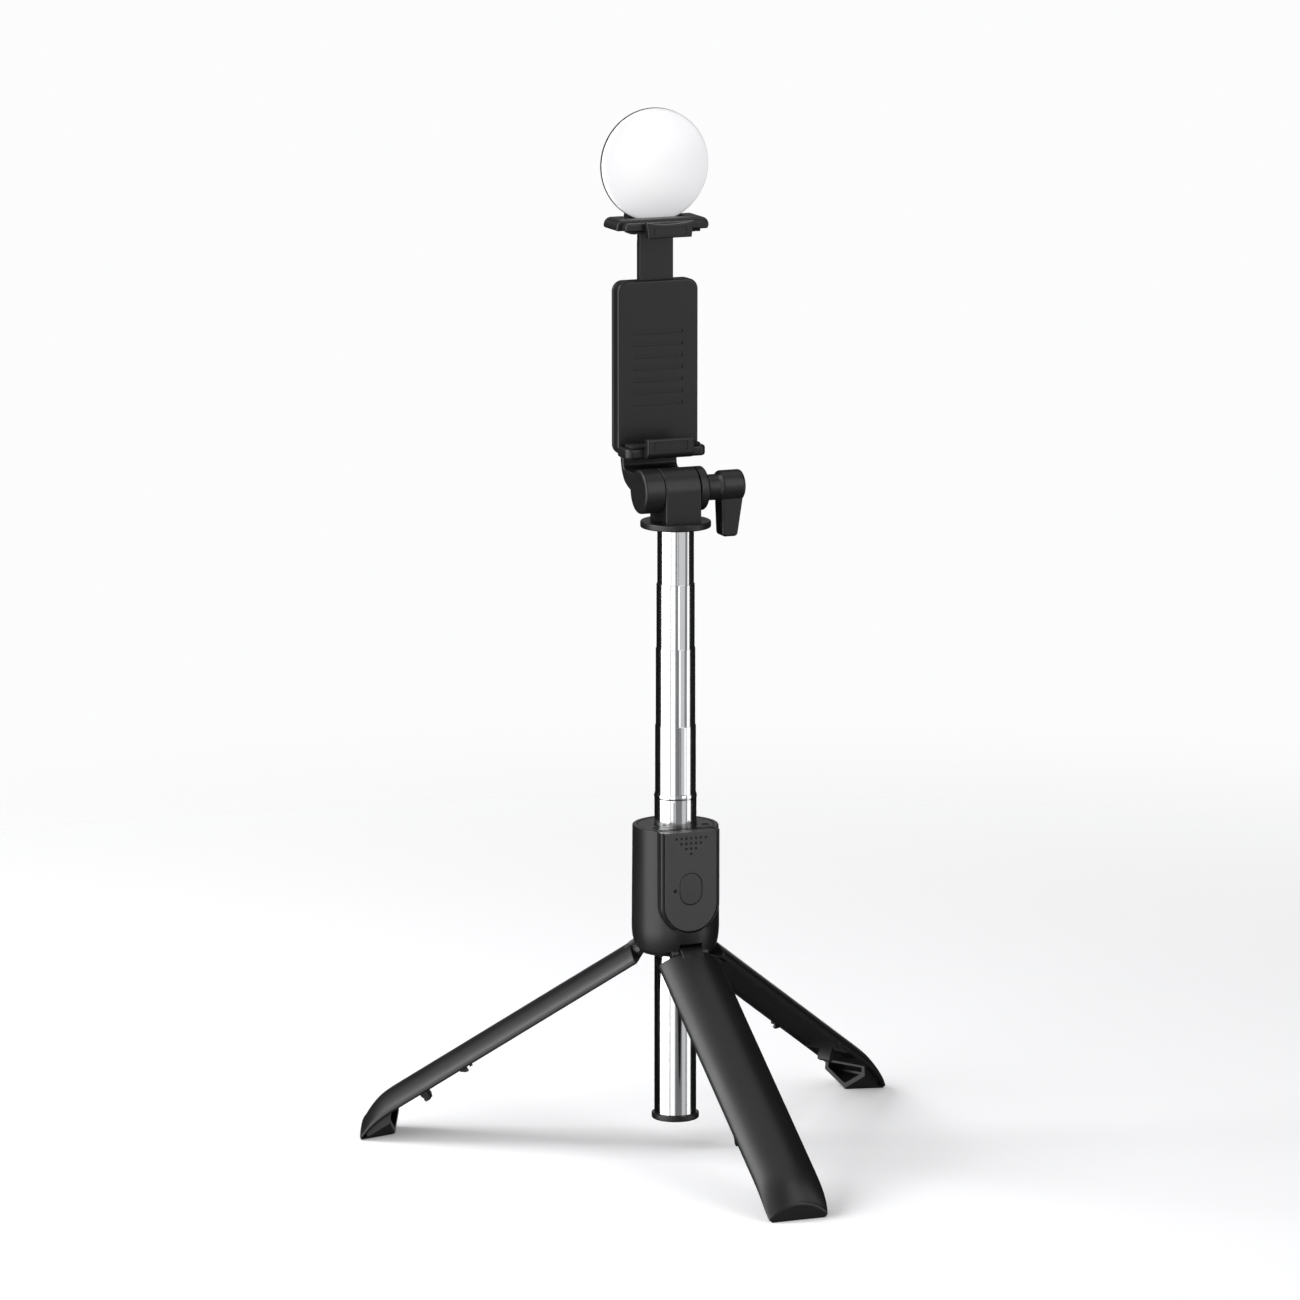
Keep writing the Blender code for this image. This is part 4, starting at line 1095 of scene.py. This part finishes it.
def shoulders(half, low, high, top_round):
    """A bar's front outline with big upper and small lower corners."""
    small = 0.7
    return (
        arc((-half + small, low + small), small, 180, 270, 5)
        + arc((half - small, low + small), small, 270, 360, 5)
        + arc((half - top_round, high - top_round), top_round, 0, 90, 10)
        + arc((-half + top_round, high - top_round), top_round, 90, 180, 10)
    )


def upper_jaw():
    z = JAW_TOP
    jaw = slab(shoulders(JAW_HALF, z - 3.5, z, 2.6), "Y", 11.2, 23.5, 0.6)
    fuse(jaw, slab(shoulders(JAW_HALF - 1.7, z - 3.42, z - 0.75, 1.85), "Y", 7.5, 12.6, 0.55))
    front = [(-7.7, 307.4), (7.7, 307.4), (8.0, 310.0), (8.4, z - 0.25)]
    front += [(x, z - 1.15 + 0.9 * (x / 8.4) ** 2) for x in (6.5, 4.5, 2.0, 0.0, -2.0, -4.5, -6.5)]
    front += [(-8.4, z - 0.25), (-8.0, 310.0)]
    fuse(jaw, slab(front, "Y", 4.6, 7.3, 0.45))
    fuse(jaw, prism(box_outline(-7.25, 309.86, 7.25, z - 1.43), "Y", 6.31, 12.9))
    carve(jaw, frame_groove(-5.8, 308.1, 5.8, 311.2, "Y", 4.6))
    fuse(jaw, slab(rounded_box(-6.0, 252.0, 6.0, 311.0, 0.8), "Y", 16.9, 19.8, 0.25))
    fuse(jaw, slab(rounded_box(-10.2, 272.0, 10.2, 276.0, 0.8), "Y", 17.0, 19.7, 0.2))
    carve(jaw, prism(box_outline(-9.9, 310.9, 9.9, 320.0), "Y", 15.9, 30.0))
    carve(jaw, prism(box_outline(-9.8, 305.0, 9.8, 320.0), "Y", 19.4, 30.0))
    return carve(jaw, prism(circle((PIN_Y, PIN_Z), FLIP_BORE, 24), "X", -13.5, 13.5))


present(upper_jaw(), "jaw_moulding", "upper_jaw", ["upper_jaw"], black_plastic)

# %% [markdown]
# Two springs inside the channel pull the jaw down on the phone. They are real coils: a wire swept
# along a helix.

# %% Clamp springs
def spring(node, turns=22, wire=0.22, around=8):
    low, high = span(node)
    centre = ((low.x + high.x) / 2, (low.y + high.y) / 2)
    radius = (high.x - low.x) / 2 - wire
    count = turns * 16
    rings = []
    for i in range(count + 1):
        turn = 2 * math.pi * i / 16
        height = low.z + wire + (high.z - low.z - 2 * wire) * i / count
        ring = []
        for k in range(around):
            a = 2 * math.pi * k / around
            r = radius + wire * math.cos(a)
            x = centre[0] + r * math.cos(turn)
            y = centre[1] + r * math.sin(turn)
            ring.append((x, y, height + wire * math.sin(a)))
        rings.append(ring)
    return solid("spring", rings)


for side in ("left", "right"):
    node = f"clamp_spring_{side}"
    coil = present(spring(node), f"coil_{side}", "clamp", [node], spring_steel)
    low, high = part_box(node)
    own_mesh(coil)

# %% [markdown]
# ## The fill light
# A thin black dish at the back with a straight chin that hinges in the jaw, and an opal dome in
# front of it. The dome's lower rim dips into the jaw's pocket, so its bottom looks cut off flat.

# %% Light sizes
_, light_high = span("light_housing")
LIGHT_RADIUS = light_high.x
LIGHT_Z = light_high.z - LIGHT_RADIUS
dome_low, dome_high = span("light_diffuser")
SPLIT = dome_high.y + 0.75
LIGHT_BACK = 20.75
CHIN_HALF = 9.5
SWITCH_Z = 320.0
print("light:", round(2 * LIGHT_RADIUS, 1), "mm across")


def light_dish():
    profile = [(0.0, LIGHT_BACK), (LIGHT_RADIUS - 1.0, LIGHT_BACK)]
    profile += arc((LIGHT_RADIUS - 0.9, LIGHT_BACK - 0.9), 0.9, 80, 0, 6)
    profile += [(LIGHT_RADIUS, SPLIT), (LIGHT_RADIUS - 1.0, SPLIT)]
    profile += [(LIGHT_RADIUS - 1.0, 19.95), (0.0, 19.95)]
    dish = turned(profile, "Y", (0, LIGHT_Z), 160)
    chin = arc((PIN_Y, PIN_Z), 1.85, 230, 400, 20)
    chin += [(22.4, 314.3), (SPLIT + 0.05, 314.3), (SPLIT + 0.05, 311.35)]
    fuse(dish, slab(chin, "X", -CHIN_HALF, CHIN_HALF, 0.3))
    carve(dish, prism(circle((PIN_Y, PIN_Z), FLIP_BORE, 24), "X", -12.0, 12.0))
    return carve(dish, prism(circle((0, SWITCH_Z), 2.6, 32), "Y", 19.0, 25.0))


def opal_dome():
    rim = LIGHT_RADIUS - 0.1
    front = dome_low.y
    radii = [rim * 0.95 * i / 14 for i in range(15)]
    profile = [(r, front + 0.8 * (r / rim) ** 2) for r in radii]
    profile += arc((rim - 0.7, front + 0.8 + 0.7), 0.7, -70, 0, 6)
    profile += [(rim, SPLIT - 0.05), (rim - 1.2, SPLIT - 0.05), (rim - 1.2, front + 2.0)]
    profile += [(r, front + 0.8 + 0.8 * (r / rim) ** 2) for r in reversed(radii[:-1])]
    return turned(profile, "Y", (0, LIGHT_Z), 160)


# The fade centre sits 6 mm left of and 3 mm above the dome's middle, for painted light from the left and
# painted shade at the right rim.
opal = opal_with_painted_light(POLE + Vector((-6.0, dome_low.y, LIGHT_Z + 3.0)) * MM)
present(light_dish(), "light_dish", "light", ["light_housing"], black_plastic)
present(opal_dome(), "opal_dome", "light", ["light_diffuser"], opal)
press_low, press_high = span("light_button")
switch = puck(press_high.x, "Y", (0, SWITCH_Z), press_low.y, press_high.y, 0.3, 40)
present(switch, "light_switch", "light_button", ["light_button"], key_plastic)

# %% [markdown]
# ## Inner pieces
# What stays inside, or shows only as a pin's end, keeps the frame's own shape and gets its finish.

# %% Finishes of the kept nodes
kept = {
    "pole_sleeve": nylon,
    "stage_4_plug": nylon,
    "stage_3_plug": nylon,
    "stage_2_plug": nylon,
    "stage_1_plug": nylon,
    "head_plug": nylon,
    "knob_washer": nylon,
    "leg_pin_1": dark_steel,
    "leg_pin_2": dark_steel,
    "leg_pin_3": dark_steel,
    "head_swivel_screw": dark_steel,
    "tilt_bolt": dark_steel,
    "light_hinge_pin": dark_steel,
    "knob_insert": brass,
    "remote_dome_mat": rubber,
    "remote_circuit_board": circuit_board,
    "remote_coin_cell": cell_steel,
    "light_led_board": white_board,
    "light_battery": cell_steel,
}
for name, finish in kept.items():
    node = frame["nodes"][name]
    node.data.materials.clear()
    node.data.materials.append(finish)
print("kept nodes:", len(kept))

# %% [markdown]
# ## Studio
# A pale floor fades into a pale backdrop, so the object stands in open white with a soft shadow.
# Black gloss and chrome show mostly what they mirror. So the backdrop is white for the camera alone,
# and every other ray meets a dim room that is darkest overhead and underfoot. The floor keeps out of
# the mirrors.

# %% Backdrop and floor
VIEW_AZIMUTH = math.radians(-22.0)
VIEW_ELEVATION = math.radians(10.7)
toward = Vector((math.sin(VIEW_AZIMUTH), -math.cos(VIEW_AZIMUTH), 0.0))
sideways = Vector((math.cos(VIEW_AZIMUTH), math.sin(VIEW_AZIMUTH), 0.0))
BACKDROP = (0.975, 0.976, 0.98, 1.0)

world = bpy.data.worlds.new("studio")
bpy.context.scene.world = world
world.use_nodes = True
room = Wire(world.node_tree)
seen = room.node("ShaderNodeLightPath")
glow = world.node_tree.nodes["Background"]
way = room.node("ShaderNodeTexCoord")
height = room.node("ShaderNodeSeparateXYZ", None, {0: way}, 2)
rise = room.node("ShaderNodeMapRange", None, {0: height, 1: -0.35, 2: -0.05, 3: 0.0, 4: 1.0})
overhead = room.node("ShaderNodeMapRange", None, {0: height, 1: 0.12, 2: 0.45, 3: 1.0, 4: 0.0})
dim = room.mix(rise * overhead, (0.06, 0.06, 0.062), (0.34, 0.34, 0.345))
tone = room.node("ShaderNodeMix", {"data_type": "RGBA"}, {0: seen, 6: dim, 7: BACKDROP}, 2)
room.tree.links.new(tone.socket, glow.inputs[0])
bpy.context.scene.view_settings.view_transform = "Standard"


def floor_finish():
    constants = {"Specular IOR Level": 0.1, "Emission Strength": 0.17}
    constants["Emission Color"] = (0.95, 0.955, 0.965, 1.0)
    finish, wire, shader = new_finish("floor", constants)
    cloud = wire.noise(0.004, 3.0)
    where = wire.node("ShaderNodeTexCoord", output=3)
    reach = wire.node("ShaderNodeVectorMath", {"operation": "LENGTH"}, {0: where}, output=1)
    settings = {"interpolation_type": "SMOOTHSTEP"}
    fade = wire.node("ShaderNodeMapRange", settings, {0: reach, 1: 0.18, 2: 0.8, 3: 1.0, 4: 0.0})
    feed(wire.mix(cloud, (0.94, 0.94, 0.95), (0.93, 0.93, 0.94)), shader, "Base Color")
    feed(cloud * 0.05 + 0.85, shader, "Roughness")
    feed(fade, shader, "Alpha")
    return finish


def sheet(name, corners, finish):
    mesh = bpy.data.meshes.new(name)
    mesh.from_pydata(corners, [], [tuple(range(len(corners)))])
    mesh.materials.append(finish)
    shape = bpy.data.objects.new(name, mesh)
    bpy.context.scene.collection.objects.link(shape)
    shape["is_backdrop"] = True
    return shape


FLOOR_RADIUS = 1.3
rim = [(u, v, 0.0) for u, v in circle((0, 0), FLOOR_RADIUS, 64)]
floor = sheet("floor", rim, floor_finish())
floor.visible_glossy = False
print("floor:", 2 * FLOOR_RADIUS, "m across")


# %% [markdown]
# Two sheets of black cloth stand behind the object, left and right. They are seen in reflections
# only, where they draw the dark edges of the tubes and the hub, and they cast no shadow.

# %% Dark screens
def cloth_finish():
    finish, wire, shader = new_finish("black_cloth", {"Specular IOR Level": 0.1})
    weave = wire.noise(0.8, 2.0)
    feed(wire.mix(weave, (0.006, 0.006, 0.006), (0.012, 0.012, 0.012)), shader, "Base Color")
    feed(weave * 0.1 + 0.85, shader, "Roughness")
    return finish


cloth = cloth_finish()
for name, side in (("screen_left", -1), ("screen_right", 1)):
    near = POLE + sideways * side * 0.62 - toward * 0.03
    far = POLE + sideways * side * 0.42 - toward * 1.6
    low, high = Vector((0, 0, -0.9)), Vector((0, 0, 1.0))
    screen = sheet(name, [near + low, far + low, far + high, near + high], cloth)
    screen.visible_camera = False
    screen.visible_diffuse = False
    screen.visible_shadow = False


# %% [markdown]
# The lamps are flat softboxes, placed by their angle from the viewing direction. Chrome shows each
# one as a stripe and moulded plastic as a soft band, so their edges are chosen for the stripes and
# their brightness for the bands.

# %% Lights
def softbox(name, azimuth, distance, height, size, brightness):
    """A rectangle of light at an angle from the viewing direction, turned to the object."""
    turn = math.radians(azimuth)
    place = POLE + (toward * math.cos(turn) + sideways * math.sin(turn)) * distance
    place.z = height
    aim = POLE + Vector((0, 0, min(height, 0.17)))
    lamp = bpy.data.lights.new(name, "AREA")
    lamp.shape = "RECTANGLE"
    lamp.size, lamp.size_y = size
    lamp.energy = math.pi * size[0] * size[1] * brightness
    holder = bpy.data.objects.new(name, lamp)
    bpy.context.scene.collection.objects.link(holder)
    holder.location = place
    holder.rotation_euler = (aim - place).to_track_quat("-Z", "Y").to_euler()
    holder.visible_camera = False
    return holder


softbox("left_wall", -62.0, 1.0, 0.3, (1.15, 1.4), 2.4)
softbox("front_left", -15.0, 1.05, 0.3, (0.52, 1.4), 1.0)
softbox("left_key", -99.0, 0.9, 0.98, (0.6, 0.5), 9.0)
softbox("right_low", 47.0, 1.0, -0.07, (0.4, 0.5), 0.4)
softbox("right_high", 47.0, 1.0, 0.73, (0.4, 1.1), 2.0)
softbox("right_edge", 78.0, 1.0, 0.2, (0.42, 1.4), 1.0)
softbox("rear_wall", 178.0, 1.5, -0.12, (0.5, 0.75), 1.5)
softbox("ceiling", 180.0, 0.1, 1.5, (1.7, 1.7), 0.6)
print("lamps:", len(bpy.data.lights))

# %% [markdown]
# A long lens from a few steps away keeps the verticals nearly parallel. It looks down a little.

# %% Camera
TARGET = POLE + Vector((-0.0079, 0.0032, 0.1697))
DISTANCE = 2.467
lens = bpy.data.cameras.new("camera")
lens.lens = 205.0
lens.sensor_width = 36.0
lens.clip_end = 20.0
camera = bpy.data.objects.new("camera", lens)
bpy.context.scene.collection.objects.link(camera)
look = toward * math.cos(VIEW_ELEVATION) + Vector((0, 0, 1)) * math.sin(VIEW_ELEVATION)
camera.location = TARGET + look * DISTANCE
camera.rotation_euler = (-look).to_track_quat("-Z", "Y").to_euler()
bpy.context.scene.camera = camera
print("camera at", [round(c, 3) for c in camera.location])

# %% Sizes and finish
visual_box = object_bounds()
boxes = [[list(corner) for corner in box] for box in (cad_box, visual_box)]
print("boxes in mm:", [[[round(c / MM, 1) for c in corner] for corner in box] for box in boxes])
